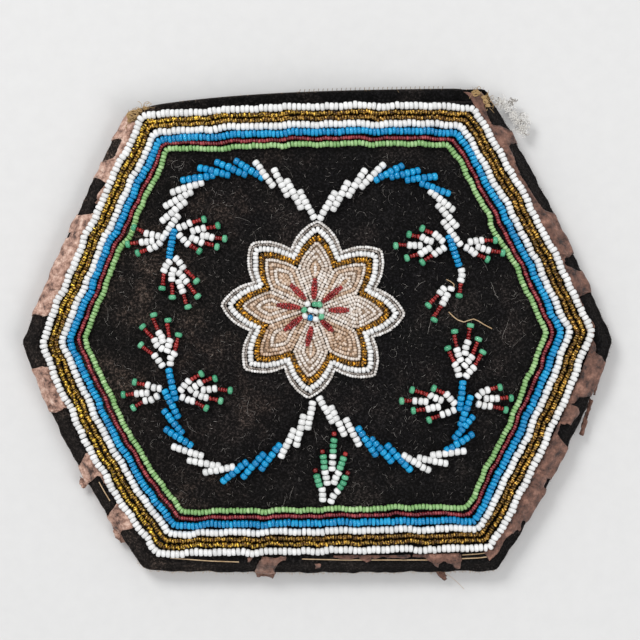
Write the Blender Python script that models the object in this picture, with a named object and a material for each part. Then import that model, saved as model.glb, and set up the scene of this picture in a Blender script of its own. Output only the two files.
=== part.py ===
"""A flat six-sided velvet bag with sewn bead rows, lying on its back.

Metres, +Z up. The front panel faces +Z and the open mouth faces +Y.
The origin is below the middle of the bag, on the surface that it lies on.
Both panels are velvet over card with a cloth lining. A worn silk ribbon
binds the five closed edges, and glass beads are sewn to the front velvet.
"""
import math

import bpy
import bmesh
from mathutils import Vector

# Outline over the ribbon, corner to corner, and its height to the back rim.
BAG_WIDTH = 0.1728
BAG_HEIGHT = 0.1408
MOUTH_WIDTH = 0.1051
MOUTH_SHIFT = -0.00325
BASE_WIDTH = 0.1026
BASE_SHIFT = 0.0011
SIDE_CORNER_HEIGHT = 0.0668
LEFT_MOUTH_DROP = 0.0066
SIDE_CORNER_CUT = 0.0010
BASE_CORNER_CUT = 0.0015

# How far each closed side bows out between its corners.
UPPER_LEFT_BOW = 0.0008
LOWER_LEFT_BOW = 0.0028
BASE_BOW = 0.0006
LOWER_RIGHT_BOW = 0.0021
UPPER_RIGHT_BOW = 0.0015

# The mouth: the back rim arches up, and the front rim lies lower.
BACK_RIM_ARCH = 0.0024
FRONT_RIM_DROP_LEFT = 0.0008
FRONT_RIM_DROP_RIGHT = 0.0040
HEM_LENGTH = 0.0060

# Cloth, card and the gaps that keep the layers apart.
VELVET = 0.00085
CARD = 0.00085
LINING = 0.00045
LAYER_GAP = 0.00028
SEAM_GAP = 0.0005
CARD_INSET = 0.0033

# The pocket's height in the middle, and how far in from an edge it is reached.
POCKET_HEIGHT = 0.0075
DOME_REACH = 0.055
EDGE_LIFT = 0.0020
LIFT_REACH = 0.010

# Rings of the panels' shape, measured in from the bound edges.
VELVET_RINGS = (0.0, CARD_INSET, LIFT_REACH, 0.022, 0.042)

# How closely a bead row follows the velvet, and its shortest step.
FOLLOW_ERROR = 0.00020
SHORTEST_STEP = 0.0015

# The silk ribbon folded round the closed edges.
RIBBON = 0.00045
RIBBON_GAP = 0.0003
RIBBON_FACE = 0.0032
RIBBON_BACK = 0.0028
RIBBON_WORN_FACE = 0.0010
RIBBON_END_GAP = 0.0012

# Beads: diameters, and the gap between one row's beads and the next.
BEAD_GAP = 0.0003
BORDER_WHITE = 0.0020
BORDER_GOLD = 0.00135
BORDER_BLUE = 0.0021
BORDER_RED = 0.0011
BORDER_GREEN = 0.0018
VINE_BEAD = 0.0019
VINE_STRING = 0.0016
SPRAY_WHITE = 0.0021
SPRAY_RED = 0.0015
SPRAY_GREEN = 0.0025
FLOWER_CLEAR = 0.0017
FLOWER_WHITE = 0.0018
FLOWER_GOLD = 0.0011
FLOWER_BEIGE = 0.0013
FLOWER_RED = 0.0007
FLOWER_CENTRE = 0.0014
SEWING_THREAD = 0.0005
STRING_GAP = 0.0001
THREAD_STEP = 0.00003

# The outer border row's corners, set in from the outline's corners.
BORDER_CORNER_INSETS = (
    (-0.0041, -0.0056),
    (0.0052, -0.0014),
    (0.0067, 0.0005),
    (0.0038, 0.0060),
    (-0.0026, 0.0078),
    (-0.0072, 0.0036),
)
BORDER_CORNER_CUT = 0.0012

# Each side's rows: moved outward, bowed outward in the middle, and spaced.
BORDER_MOVES = (0.0, -0.00015, 0.0003, 0.00035, 0.0005, -0.0003)
BORDER_BOWS = (0.00085, 0.00085, 0.0025, 0.0, 0.0013, 0.0013)
BORDER_SPREADS = (0.92, 0.94, 1.04, 1.02, 1.01, 1.0)

# The eight-petalled flower.
PETALS = 8
FLOWER_TURN_DEG = -3.0
CENTRE_RADIUS = 0.0029
PETAL_RIDGES = 3

# The picture's frame: 640 by 640, with the bag this many pixels wide and high.
BAG_WIDTH_PX = 597.0
BAG_HEIGHT_PX = 486.5
BAG_CENTRE_PX = (317.5, 330.0)
OUTLINE_PX = (
    (486.6, 87.8), (126.1, 110.4), (21.1, 343.7), (145.3, 570.8), (497.3, 571.5), (613.9, 340.3),
)
FRONT_IS_NEARER = 0.993
FLOWER_CENTRE_PX = (313.0, 309.5)
FLOWER_TIP_PX = 89.5
FLOWER_VALLEY_PX = 63.6
PETAL_BULGE_PX = 4.5
RAY_TIP_PX = 30.4
RAY_NOTCH_PX = 11.8

# Vines: each lane is one slanted string of beads, from its first bead to its
# last, in the picture's pixels. A vine's groups follow one another outward.
VINES_PX = {
    "vine_upper_left_inner_white": (
        ((313.4, 216.7), (300.2, 192.5)),
        ((301.0, 207.2), (287.0, 181.5)),
        ((287.0, 194.7), (274.6, 170.5)),
        ((272.4, 185.2), (256.2, 163.2)),
    ),
    "vine_upper_left_blue": (
        ((261.4, 177.1), (236.4, 161.7)),
        ((244.5, 174.2), (217.4, 162.5)),
        ((227.6, 174.9), (200.5, 167.9)),
        ((212.2, 175.7), (183.6, 180.1)),
    ),
    "vine_upper_left_outer_white": (
        ((201.2, 183.0), (173.3, 191.8)),
        ((190.3, 192.5), (166.0, 205.6)),
        ((184.4, 202.4), (162.8, 220.3)),
        ((177.2, 216.3), (163.6, 237.0)),
    ),
    "vine_upper_left_stem": (
        ((174.6, 231.0), (171.6, 257.5)),
        ((170.6, 236.0), (166.8, 258.0)),
    ),
    "vine_upper_right_inner_white": (
        ((320.5, 217.5), (334.5, 193.5)),
        ((333.4, 208.6), (347.3, 183.5)),
        ((348.4, 195.2), (364.1, 171.2)),
        ((361.8, 186.3), (382.5, 165.6)),
    ),
    "vine_upper_right_blue": (
        ((376.3, 179.6), (401.1, 166.2)),
        ((392.0, 176.8), (417.6, 170.6)),
        ((407.6, 179.6), (434.9, 176.8)),
        ((422.1, 183.5), (447.8, 193.5)),
    ),
    "vine_upper_right_outer_white": (
        ((431.0, 191.9), (452.2, 209.2)),
        ((438.8, 205.8), (455.7, 225.8)),
        ((444.0, 222.5), (459.6, 243.7)),
    ),
    "vine_upper_right_stem": (
        ((449.2, 240.0), (455.8, 266.5)),
        ((453.6, 246.0), (460.2, 265.5)),
    ),
    "vine_lower_left_inner_white": (
        ((312.7, 403.1), (307.9, 427.5)),
        ((303.5, 416.7), (296.5, 444.3)),
        ((293.8, 430.8), (281.3, 455.7)),
    ),
    "vine_lower_left_blue": (
        ((279.1, 445.4), (261.8, 468.2)),
        ((263.4, 454.6), (243.9, 475.8)),
        ((245.5, 462.8), (223.8, 480.6)),
    ),
    "vine_lower_left_outer_white": (
        ((232.5, 467.1), (205.4, 472.0)),
        ((217.9, 466.0), (189.7, 460.6)),
        ((201.1, 455.7), (174.0, 447.0)),
    ),
    "vine_lower_left_stem": (
        ((190.2, 444.9), (166.4, 429.7)),
        ((181.6, 432.4), (164.8, 411.8)),
        ((177.6, 416.1), (165.6, 392.0)),
        ((174.6, 398.0), (169.0, 371.5)),
    ),
    "vine_lower_right_inner_white": (
        ((319.7, 398.5), (332.1, 421.0)),
        ((331.5, 408.0), (343.9, 433.9)),
        ((346.3, 420.4), (358.7, 444.0)),
    ),
    "vine_lower_right_blue": (
        ((358.7, 429.2), (375.2, 454.0)),
        ((372.2, 439.8), (391.1, 460.5)),
        ((388.2, 446.3), (409.4, 469.3)),
    ),
    "vine_lower_right_outer_white": (
        ((404.1, 455.8), (427.7, 469.9)),
        ((419.4, 458.1), (445.4, 463.4)),
        ((433.0, 455.2), (463.1, 451.0)),
    ),
    "vine_lower_right_stem": (
        ((447.2, 449.9), (471.4, 435.1)),
        ((455.4, 437.5), (471.9, 417.4)),
        ((461.3, 423.9), (470.2, 397.8)),
        ((460.0, 407.9), (462.8, 382.6)),
    ),
}

# Sprays: for each finger its first bead, the last bead of its first colour
# and its tip, in the picture's pixels.
SPRAYS_PX = {
    "spray_upper_left_outer": (
        ((160.5, 237.5), (146.5, 233.5), (134.8, 228.0)),
        ((154.0, 241.0), (141.7, 242.2), (128.6, 244.2)),
        ((159.7, 243.0), (150.1, 248.6), (138.1, 253.0)),
    ),
    "spray_upper_left_inner": (
        ((179.8, 228.5), (189.6, 223.1), (203.7, 219.5)),
        ((192.0, 231.1), (203.5, 228.3), (217.6, 225.7)),
        ((202.7, 235.4), (211.9, 236.6), (224.4, 238.6)),
        ((191.0, 238.0), (201.5, 242.6), (216.7, 246.8)),
        ((179.8, 234.5), (187.6, 243.8), (199.1, 251.0)),
    ),
    "spray_upper_left_tip": (
        ((169.2, 263.4), (164.0, 270.5), (162.2, 287.9)),
        ((173.0, 269.7), (171.8, 279.3), (172.4, 297.0)),
        ((178.8, 281.7), (182.6, 291.3), (188.0, 306.6)),
        ((179.2, 272.9), (186.4, 281.3), (197.5, 296.1)),
        ((176.0, 261.0), (182.8, 267.4), (196.3, 280.9)),
    ),
    "spray_upper_right_outer": (
        ((470.0, 242.5), (481.6, 240.4), (494.8, 240.4)),
        ((477.0, 246.7), (488.3, 250.3), (502.4, 252.9)),
        ((467.5, 248.5), (474.7, 253.6), (487.2, 259.2)),
    ),
    "spray_upper_right_inner": (
        ((442.3, 240.9), (435.2, 234.2), (422.5, 228.6)),
        ((431.9, 241.8), (422.5, 237.3), (409.3, 234.5)),
        ((420.5, 245.5), (409.7, 245.2), (396.1, 245.8)),
        ((430.4, 248.2), (420.9, 253.6), (407.1, 257.9)),
        ((443.0, 248.0), (434.7, 253.8), (422.5, 262.1)),
    ),
    "spray_upper_right_tip": (
        ((461.5, 271.5), (460.9, 280.2), (459.1, 295.4)),
        ((443.7, 288.7), (438.6, 293.8), (428.5, 305.2)),
        ((447.2, 294.9), (442.8, 303.4), (434.3, 319.5)),
    ),
    "spray_lower_left_outer": (
        ((159.0, 389.0), (147.9, 385.1), (135.0, 382.1)),
        ((148.5, 392.9), (136.7, 393.7), (123.8, 394.6)),
        ((157.0, 396.3), (145.3, 401.2), (133.7, 407.5)),
    ),
    "spray_lower_left_inner": (
        ((181.6, 389.8), (188.4, 381.2), (201.1, 373.9)),
        ((190.5, 389.8), (200.0, 383.0), (214.8, 378.6)),
        ((203.5, 389.8), (214.7, 388.6), (229.9, 390.3)),
        ((196.1, 393.7), (206.0, 397.6), (220.4, 400.8)),
        ((182.8, 396.4), (192.7, 401.0), (206.0, 407.9)),
    ),
    "spray_lower_left_tip": (
        ((162.1, 364.0), (154.8, 355.8), (141.2, 345.1)),
        ((161.7, 348.5), (154.8, 340.3), (142.9, 327.0)),
        ((162.7, 341.2), (159.1, 333.0), (153.8, 315.2)),
        ((167.3, 350.7), (169.9, 340.7), (168.1, 320.5)),
        ((170.3, 362.6), (174.2, 353.7), (178.5, 335.1)),
    ),
    "spray_lower_right_outer": (
        ((479.0, 396.1), (487.5, 390.1), (499.6, 387.4)),
        ((486.3, 398.5), (497.1, 398.5), (510.8, 398.1)),
        ((479.2, 403.6), (489.9, 406.1), (505.4, 409.8)),
    ),
    "spray_lower_right_inner": (
        ((453.0, 402.9), (446.8, 394.5), (434.1, 388.5)),
        ((440.9, 400.1), (430.9, 395.7), (412.4, 390.1)),
        ((424.6, 401.8), (414.9, 400.9), (402.0, 400.9)),
        ((438.6, 406.9), (428.1, 408.9), (413.7, 410.6)),
        ((452.4, 410.1), (442.4, 414.5), (429.3, 419.9)),
    ),
    "spray_lower_right_tip": (
        ((458.8, 373.6), (455.2, 364.6), (447.8, 348.4)),
        ((460.4, 360.8), (457.0, 349.9), (454.6, 331.7)),
        ((465.2, 353.1), (467.7, 342.3), (470.4, 325.8)),
        ((464.8, 365.4), (471.6, 357.0), (478.3, 339.5)),
        ((466.4, 374.0), (473.5, 367.8), (482.5, 352.3)),
    ),
    "spray_base": (
        ((322.7, 499.0), (322.1, 489.4), (315.4, 470.5)),
        ((327.2, 483.9), (325.1, 472.3), (322.5, 451.6)),
        ((332.1, 470.7), (332.7, 456.3), (334.1, 433.9)),
        ((334.3, 483.3), (338.4, 472.9), (345.3, 454.0)),
        ((331.0, 500.0), (337.4, 491.2), (347.7, 472.9)),
    ),
}

# Worn places of the ribbon: along each side from 0 to 1, how much of the
# ribbon's visible face is left there.
RIBBON_WEAR = {
    "ribbon_upper_left": ((0.0, 0.8), (0.20, 0.5), (0.34, 1.0), (0.42, 0.4), (0.56, 0.7), (0.70, 1.0), (1.0, 0.9)),
    "ribbon_lower_left": ((0.0, 0.3), (0.10, 1.0), (0.27, 0.9), (0.33, 0.1), (0.48, 0.9), (0.75, 0.2), (1.0, 0.8)),
    "ribbon_base": ((0.0, 0.0), (0.25, 0.0), (0.33, 0.5), (0.40, 0.0), (0.80, 0.0), (0.87, 0.8), (1.0, 0.0)),
    "ribbon_lower_right": ((0.0, 0.7), (0.25, 1.0), (0.50, 0.9), (0.62, 0.3), (0.72, 0.8), (0.85, 0.9), (1.0, 1.0)),
    "ribbon_upper_right": ((0.0, 0.6), (0.20, 0.2), (0.34, 0.9), (0.45, 1.0), (0.62, 0.5), (0.85, 0.8), (1.0, 0.4)),
}

# Threads that show: knots at the mouth's corners, a frayed tuft and a loose end.
KNOT_LEFT_OFFSET = (0.0017, -0.0018)
KNOT_RIGHT_OFFSET = (-0.0006, -0.0056)
KNOT_RADIUS = 0.0013
TUFT_OFFSETS = ((0.0059, -0.0076), (0.0075, -0.0087), (0.0097, -0.0103), (0.0120, -0.0120))
TUFT_RADII = (0.0005, 0.0012, 0.0010, 0.0004)
LOOSE_THREAD_PX = (
    (448.6, 311.9), (453.0, 316.4), (457.5, 319.9), (463.8, 322.1), (469.0, 320.3),
    (473.6, 319.0), (479.0, 321.4), (484.3, 324.8), (491.9, 328.7),
)

COLOURS = {
    "velvet": ((0.012, 0.010, 0.010), 0.95),
    "card": ((0.45, 0.36, 0.24), 0.90),
    "lining": ((0.30, 0.22, 0.14), 0.90),
    "silk": ((0.30, 0.16, 0.10), 0.55),
    "white": ((0.85, 0.85, 0.84), 0.25),
    "gold": ((0.33, 0.15, 0.02), 0.15),
    "blue": ((0.01, 0.22, 0.58), 0.20),
    "red": ((0.34, 0.02, 0.03), 0.20),
    "green": ((0.22, 0.50, 0.18), 0.25),
    "clear": ((0.62, 0.58, 0.50), 0.10),
    "thread": ((0.60, 0.50, 0.36), 0.80),
}


PICTURE_SCALE = min(BAG_WIDTH / BAG_WIDTH_PX, BAG_HEIGHT / BAG_HEIGHT_PX)
FLOWER_TIP = FLOWER_TIP_PX * PICTURE_SCALE
FLOWER_VALLEY = FLOWER_VALLEY_PX * PICTURE_SCALE
PETAL_BULGE = PETAL_BULGE_PX * PICTURE_SCALE
RAY_TIP = RAY_TIP_PX * PICTURE_SCALE
RAY_NOTCH = RAY_NOTCH_PX * PICTURE_SCALE


def line_point(a, b, share):
    """The point that lies this share of the way from a to b."""
    return (a[0] + (b[0] - a[0]) * share, a[1] + (b[1] - a[1]) * share)


def distance(a, b):
    return math.hypot(b[0] - a[0], b[1] - a[1])


def direction(a, b):
    length = distance(a, b)
    return ((b[0] - a[0]) / length, (b[1] - a[1]) / length)


def outline_corners():
    """The corners over the ribbon, anticlockwise from the mouth's right end."""
    base = -BAG_HEIGHT / 2
    top = BAG_HEIGHT / 2 - BACK_RIM_ARCH * 0.1
    side = base + SIDE_CORNER_HEIGHT
    half = BAG_WIDTH / 2
    return [
        (MOUTH_SHIFT + MOUTH_WIDTH / 2, top),
        (MOUTH_SHIFT - MOUTH_WIDTH / 2, top - LEFT_MOUTH_DROP),
        (-half, side),
        (BASE_SHIFT - BASE_WIDTH / 2, base),
        (BASE_SHIFT + BASE_WIDTH / 2, base),
        (half, side),
    ]


def inset_corners(corners, distances):
    """Corners of the polygon whose side i lies distances[i] further in."""
    sides = []
    count = len(corners)
    for index in range(count):
        start = corners[index]
        along = direction(start, corners[(index + 1) % count])
        inward = (-along[1], along[0])
        moved = (start[0] + inward[0] * distances[index], start[1] + inward[1] * distances[index])
        sides.append((moved, along))
    result = []
    for index in range(count):
        (px, py), (ux, uy) = sides[index - 1]
        (qx, qy), (vx, vy) = sides[index]
        cross = ux * vy - uy * vx
        share = ((qx - px) * vy - (qy - py) * vx) / cross
        result.append((px + ux * share, py + uy * share))
    return result


EDGE_INSET = RIBBON + RIBBON_GAP
OUTLINE = outline_corners()
VELVET_CORNERS = inset_corners(OUTLINE, [RIBBON_GAP] + [EDGE_INSET] * 5)
BOWS = (0.0, UPPER_LEFT_BOW, LOWER_LEFT_BOW, BASE_BOW, LOWER_RIGHT_BOW, UPPER_RIGHT_BOW)
BOUND_SIDES = (1, 2, 3, 4, 5)
FACETS = []


def bow(side, share):
    """How far a bound side's edge stands out of its straight line."""
    share = min(max(share, 0.0), 1.0)
    return BOWS[side] * 4 * share * (1 - share)


def side_distance(point, side):
    """How far in from one bound velvet edge a point lies."""
    start = VELVET_CORNERS[side]
    end = VELVET_CORNERS[(side + 1) % 6]
    along = direction(start, end)
    offset = (point[0] - start[0], point[1] - start[1])
    share = (offset[0] * along[0] + offset[1] * along[1]) / distance(start, end)
    inward = offset[1] * along[0] - offset[0] * along[1]
    return max(inward + bow(side, share), 0.0)


def swell(point, reach):
    """0 at the bound edges, rising to 1 at this distance in from all of them."""
    product = 1.0
    for side in BOUND_SIDES:
        share = min(side_distance(point, side) / reach, 1.0)
        product *= 1 - (1 - share) ** 2
    return product


def levels(point):
    """Heights of every layer's face at a point, from the bottom up."""
    nearest = min(side_distance(point, side) for side in BOUND_SIDES)
    card_step = (CARD + LAYER_GAP) * min(nearest / CARD_INSET, 1.0)
    flat = math.prod(min(side_distance(point, side) / LIFT_REACH, 1.0) for side in BOUND_SIDES)
    back_out = EDGE_LIFT * (1 - flat)
    back_in = back_out + VELVET
    back_lining = back_in + LAYER_GAP + card_step
    pocket_floor = back_lining + LINING
    pocket_top = pocket_floor + SEAM_GAP + POCKET_HEIGHT * swell(point, DOME_REACH)
    front_card = pocket_top + LINING + LAYER_GAP
    front_in = front_card + card_step
    return {
        "back_velvet": (back_out, back_in),
        "back_card": (back_in + LAYER_GAP, back_in + LAYER_GAP + CARD),
        "back_lining": (back_lining, pocket_floor),
        "back_hem": (pocket_floor + LAYER_GAP, pocket_floor + LAYER_GAP + VELVET),
        "front_hem": (pocket_top - LAYER_GAP - VELVET, pocket_top - LAYER_GAP),
        "front_lining": (pocket_top, pocket_top + LINING),
        "front_card": (front_card, front_card + CARD),
        "front_velvet": (front_in, front_in + VELVET),
    }


def back_rim(share):
    """The back rim, from the mouth's left end to its right end."""
    share = min(max(share, 0.0), 1.0)
    x, y = line_point(VELVET_CORNERS[1], VELVET_CORNERS[0], share)
    return (x, y + BACK_RIM_ARCH * math.sin(math.pi * share ** 0.7))


def front_rim(share):
    """The front rim, a little lower, from the left end to the right end."""
    drop = FRONT_RIM_DROP_LEFT + (FRONT_RIM_DROP_RIGHT - FRONT_RIM_DROP_LEFT) * share
    x, y = line_point(VELVET_CORNERS[1], VELVET_CORNERS[0], share)
    return (x, y - drop)


def leg_end(foot, along, rim, back_off):
    """Where a leg that rises from its foot meets the rim, less back_off."""
    width = VELVET_CORNERS[0][0] - VELVET_CORNERS[1][0]
    reach = 0.0
    for _ in range(30):
        x = foot[0] + along[0] * reach
        target = rim((x - VELVET_CORNERS[1][0]) / width)[1] - back_off
        reach = (target - foot[1]) / along[1]
    return (foot[0] + along[0] * reach, foot[1] + along[1] * reach)


def side_stations(corners, side, shares, cut_start, cut_end):
    """Points along one side of a ring, with its ends cut back."""
    start = corners[side]
    end = corners[(side + 1) % 6]
    along = direction(start, end)
    length = distance(start, end)
    points = []
    for share in shares:
        reach = cut_start + (length - cut_start - cut_end) * share
        out = bow(side, reach / length)
        x = start[0] + along[0] * reach + along[1] * out
        y = start[1] + along[1] * reach - along[0] * out
        points.append((x, y))
    return points


def ring(inset, rim, back_off):
    """A ring of a panel: down the left leg, round the base and up again."""
    corners = inset_corners(VELVET_CORNERS, [0.0] + [inset] * 5)
    thirds = (1 / 3, 2 / 3)
    side = SIDE_CORNER_CUT
    base = BASE_CORNER_CUT
    left_along = direction(corners[2], corners[1])
    right_along = direction(corners[5], corners[0])
    points = [leg_end(corners[2], left_along, rim, back_off)]
    points += side_stations(corners, 1, thirds + (1.0,), 0.0, side)
    points += side_stations(corners, 2, (0.0,) + thirds + (1.0,), side, base)
    points += side_stations(corners, 3, (0.0, 0.5, 1.0), base, base)
    points += side_stations(corners, 4, (0.0,) + thirds + (1.0,), base, side)
    points += side_stations(corners, 5, (0.0,) + thirds, side, 0.0)
    points.append(leg_end(corners[5], right_along, rim, back_off))
    return points


def make_object(name, vertices, faces, colour):
    """A named object with its own plain material, faces pointing out."""
    mesh = bpy.data.meshes.new(name)
    mesh.from_pydata(vertices, [], faces)
    work = bmesh.new()
    work.from_mesh(mesh)
    bmesh.ops.recalc_face_normals(work, faces=work.faces)
    bmesh.ops.triangulate(work, faces=work.faces)
    if work.calc_volume(signed=True) < 0:
        bmesh.ops.reverse_faces(work, faces=work.faces)
    work.to_mesh(mesh)
    work.free()
    shade, roughness = COLOURS[colour]
    material = bpy.data.materials.new(name)
    material.use_nodes = True
    surface = material.node_tree.nodes["Principled BSDF"]
    surface.inputs["Base Color"].default_value = (*shade, 1.0)
    surface.inputs["Roughness"].default_value = roughness
    mesh.materials.append(material)
    thing = bpy.data.objects.new(name, mesh)
    bpy.context.collection.objects.link(thing)
    return thing


def surface_faces(ring_count, station_count, centre, first=0):
    """Triangles of one face of a panel, from its outer ring to its centre."""
    faces = []
    for row in range(ring_count - 1):
        for column in range(station_count - 1):
            a = first + row * station_count + column
            b = a + 1
            c = a + station_count
            d = c + 1
            faces += [(a, b, d), (a, d, c)]
    last = first + (ring_count - 1) * station_count
    for column in range(station_count - 1):
        faces.append((last + column, last + column + 1, centre))
    faces.append((last + station_count - 1, last, centre))
    return faces


def velvet_facets():
    """The triangles of the front velvet's upper face."""
    rings = panel_rings(VELVET_RINGS, front_rim, 0.0)
    flat = [point for one in rings for point in one] + [(0.0, 0.0)]
    points = [(x, y, levels((x, y))["front_velvet"][1]) for x, y in flat]
    faces = surface_faces(len(rings), len(rings[0]), len(points) - 1)
    return [tuple(points[index] for index in face) for face in faces]


def top_of_velvet(x, y):
    """The height of the front velvet's face, which its facets decide."""
    if not FACETS:
        FACETS.extend(velvet_facets())
    for a, b, c in FACETS:
        area = (b[0] - a[0]) * (c[1] - a[1]) - (b[1] - a[1]) * (c[0] - a[0])
        if abs(area) < 1e-12:
            continue
        v = ((x - a[0]) * (c[1] - a[1]) - (y - a[1]) * (c[0] - a[0])) / area
        w = ((b[0] - a[0]) * (y - a[1]) - (b[1] - a[1]) * (x - a[0])) / area
        if v >= -1e-6 and w >= -1e-6 and v + w <= 1 + 1e-6:
            return a[2] + (b[2] - a[2]) * v + (c[2] - a[2]) * w
    return levels((x, y))["front_velvet"][1]


def follow_velvet(points, closed):
    """Add points to a string wherever the velvet leaves its straight line."""
    result = []
    pairs = list(zip(points, points[1:]))
    if closed:
        pairs.append((points[-1], points[0]))
    for a, b in pairs:
        result.append(a)
        result += points_between(a, b)
    if not closed:
        result.append(points[-1])
    return result


def points_between(a, b):
    if distance(a, b) < SHORTEST_STEP * 2:
        return []
    start = top_of_velvet(*a)
    end = top_of_velvet(*b)
    worst, place = 0.0, 0.5
    for step in range(1, 12):
        share = step / 12
        away = abs(top_of_velvet(*line_point(a, b, share)) - start - (end - start) * share)
        if away > worst:
            worst, place = away, share
    if worst < FOLLOW_ERROR:
        return []
    middle = line_point(a, b, place)
    return points_between(a, middle) + [middle] + points_between(middle, b)


def mouth_indices(ring_count, station_count):
    """Vertices along the mouth, from the left edge to the right edge."""
    left = [row * station_count for row in range(ring_count)]
    right = [row * station_count + station_count - 1 for row in reversed(range(ring_count))]
    return left + right


def panel_rings(insets, rim, back_off):
    return [ring(inset, rim, back_off) for inset in insets]


def layer(name, colour, insets, rim, back_off):
    """A card or lining: one layer's two faces, closed all round."""
    rings = panel_rings(insets, rim, back_off)
    stations = len(rings[0])
    flat = [point for one in rings for point in one] + [(0.0, 0.0)]
    low = [(x, y, levels((x, y))[name][0]) for x, y in flat]
    high = [(x, y, levels((x, y))[name][1]) for x, y in flat]
    size = len(flat)
    faces = surface_faces(len(rings), stations, size - 1)
    faces += surface_faces(len(rings), stations, 2 * size - 1, size)
    edge = list(range(stations)) + mouth_indices(len(rings), stations)[:-1][::-1]
    for a, b in zip(edge, edge[1:]):
        faces.append((a, b, b + size, a + size))
    return make_object(name, low + high, faces, colour)


def velvet_panel(name, hem, insets, rim):
    """A velvet panel whose mouth edge is turned over the rim into the pocket.

    The face that shows runs to the rim, and the inner face stops one
    thickness short of it, so the fold joins them as one cloth.
    """
    shown_first = name == "front_velvet"
    outer_rings = panel_rings(insets, rim, 0.0)
    inner_rings = panel_rings(insets, rim, VELVET)
    stations = len(outer_rings[0])
    outer_flat = [point for one in outer_rings for point in one] + [(0.0, 0.0)]
    inner_flat = [point for one in inner_rings for point in one] + [(0.0, 0.0)]
    shown = 1 if shown_first else 0
    outer = [(x, y, levels((x, y))[name][shown]) for x, y in outer_flat]
    inner = [(x, y, levels((x, y))[name][1 - shown]) for x, y in inner_flat]
    size = len(outer)
    vertices = outer + inner
    faces = surface_faces(len(insets), stations, size - 1)
    faces += surface_faces(len(insets), stations, 2 * size - 1, size)
    for a in range(stations - 1):
        faces.append((a, a + 1, a + 1 + size, a + size))
    mouth = mouth_indices(len(insets), stations)
    hem_first, hem_last = 2, len(mouth) - 3
    pocket_side = 0 if shown_first else 1
    for index in (0, 1, -3, -2):
        a, b = mouth[index], mouth[index + 1]
        faces.append((a, b, b + size, a + size))
    sections = []
    for index in mouth[hem_first:hem_last + 1]:
        x, y = outer_flat[index]
        chain = [index]
        for back_off, face in ((0.0, pocket_side), (HEM_LENGTH, pocket_side),
                               (HEM_LENGTH, 1 - pocket_side), (VELVET, 1 - pocket_side)):
            spot = (x, y - back_off)
            vertices.append((*spot, levels(spot)[hem][face]))
            chain.append(len(vertices) - 1)
        chain.append(index + size)
        sections.append(chain)
    for near, far in zip(sections, sections[1:]):
        for step in range(5):
            faces.append((near[step], near[step + 1], far[step + 1], far[step]))
    faces.append(tuple(sections[0]))
    faces.append(tuple(sections[-1]))
    return make_object(name, vertices, faces, "velvet")


def make_panels():
    fold = VELVET + LAYER_GAP
    for side, rim in (("back", back_rim), ("front", front_rim)):
        velvet_panel(side + "_velvet", side + "_hem", VELVET_RINGS, rim)
        layer(side + "_card", "card", VELVET_RINGS[1:], rim, fold)
        layer(side + "_lining", "lining", VELVET_RINGS, rim, fold)


def loft(sections, closed):
    """Vertices and faces of a bar through sections with equal point counts."""
    size = len(sections[0])
    vertices = [point for section in sections for point in section]
    faces = []
    spans = len(sections) if closed else len(sections) - 1
    for row in range(spans):
        near = row * size
        far = ((row + 1) % len(sections)) * size
        for column in range(size):
            after = (column + 1) % size
            faces.append((near + column, near + after, far + after, far + column))
    if not closed:
        faces.append(tuple(range(size)))
        faces.append(tuple(range(len(vertices) - size, len(vertices))))
    return vertices, faces


def bead_section(centre, across, width, height, raised):
    """A bead string's cross section, lying on the velvet at one point."""
    x, y = centre
    base = top_of_velvet(x, y) + BEAD_GAP
    corners = []
    for side, lift in ((-0.5, 0.0), (0.5, 0.0), (0.27, 1.0), (-0.27, 1.0)):
        px = x + across[0] * width * side
        py = y + across[1] * width * side
        low = max(top_of_velvet(px, py) + BEAD_GAP, base)
        corners.append((px, py, raised + (base + height if lift else low)))
    return corners


def string_sections(points, widths, closed, raised=0.0):
    """Bead sections along a string, square to it at each point."""
    count = len(points)
    sections = []
    for index, point in enumerate(points):
        before = points[index - 1] if closed or index else point
        after = points[(index + 1) % count] if closed or index < count - 1 else point
        along = direction(before, after)
        across = (-along[1], along[0])
        if closed:
            first = direction(before, point)
            turn = abs(first[0] * along[0] + first[1] * along[1])
        else:
            turn = 1.0
        sections.append(bead_section(point, across, widths[index] / turn, widths[index], raised))
    return sections


def border_corners():
    return [(c[0] + d[0], c[1] + d[1]) for c, d in zip(OUTLINE, BORDER_CORNER_INSETS)]


def border_row_points(inset):
    """A border row's points, anticlockwise from the mouth's right end."""
    insets = [inset * spread - move for spread, move in zip(BORDER_SPREADS, BORDER_MOVES)]
    corners = inset_corners(border_corners(), insets)
    points = []
    for side in range(6):
        start = corners[side]
        end = corners[(side + 1) % 6]
        cut = BORDER_CORNER_CUT / distance(start, end)
        points.append(line_point(start, end, cut))
        if BORDER_BOWS[side]:
            middle = line_point(start, end, 0.5)
            along = direction(start, end)
            points.append((middle[0] + along[1] * BORDER_BOWS[side],
                           middle[1] - along[0] * BORDER_BOWS[side]))
        points.append(line_point(start, end, 1 - cut))
    return follow_velvet(points, True)


def border_rows():
    """Each row's name, bead size, colour and distance in from the outer row."""
    rows = (
        ("border_white_outer", BORDER_WHITE, "white"),
        ("border_gold_outer", BORDER_GOLD, "gold"),
        ("border_gold_inner", BORDER_GOLD, "gold"),
        ("border_white_inner", BORDER_WHITE, "white"),
        ("border_blue", BORDER_BLUE, "blue"),
        ("border_red", BORDER_RED, "red"),
        ("border_green", BORDER_GREEN, "green"),
    )
    inset = 0.0
    last = rows[0][1]
    for name, bead, colour in rows:
        if name != rows[0][0]:
            inset += (last + bead) / 2 + BEAD_GAP
        yield name, bead, colour, inset
        last = bead


def make_border():
    for name, bead, colour, inset in border_rows():
        points = border_row_points(inset)
        sections = string_sections(points, [bead] * len(points), True)
        make_object(name, *loft(sections, True), colour)


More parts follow.
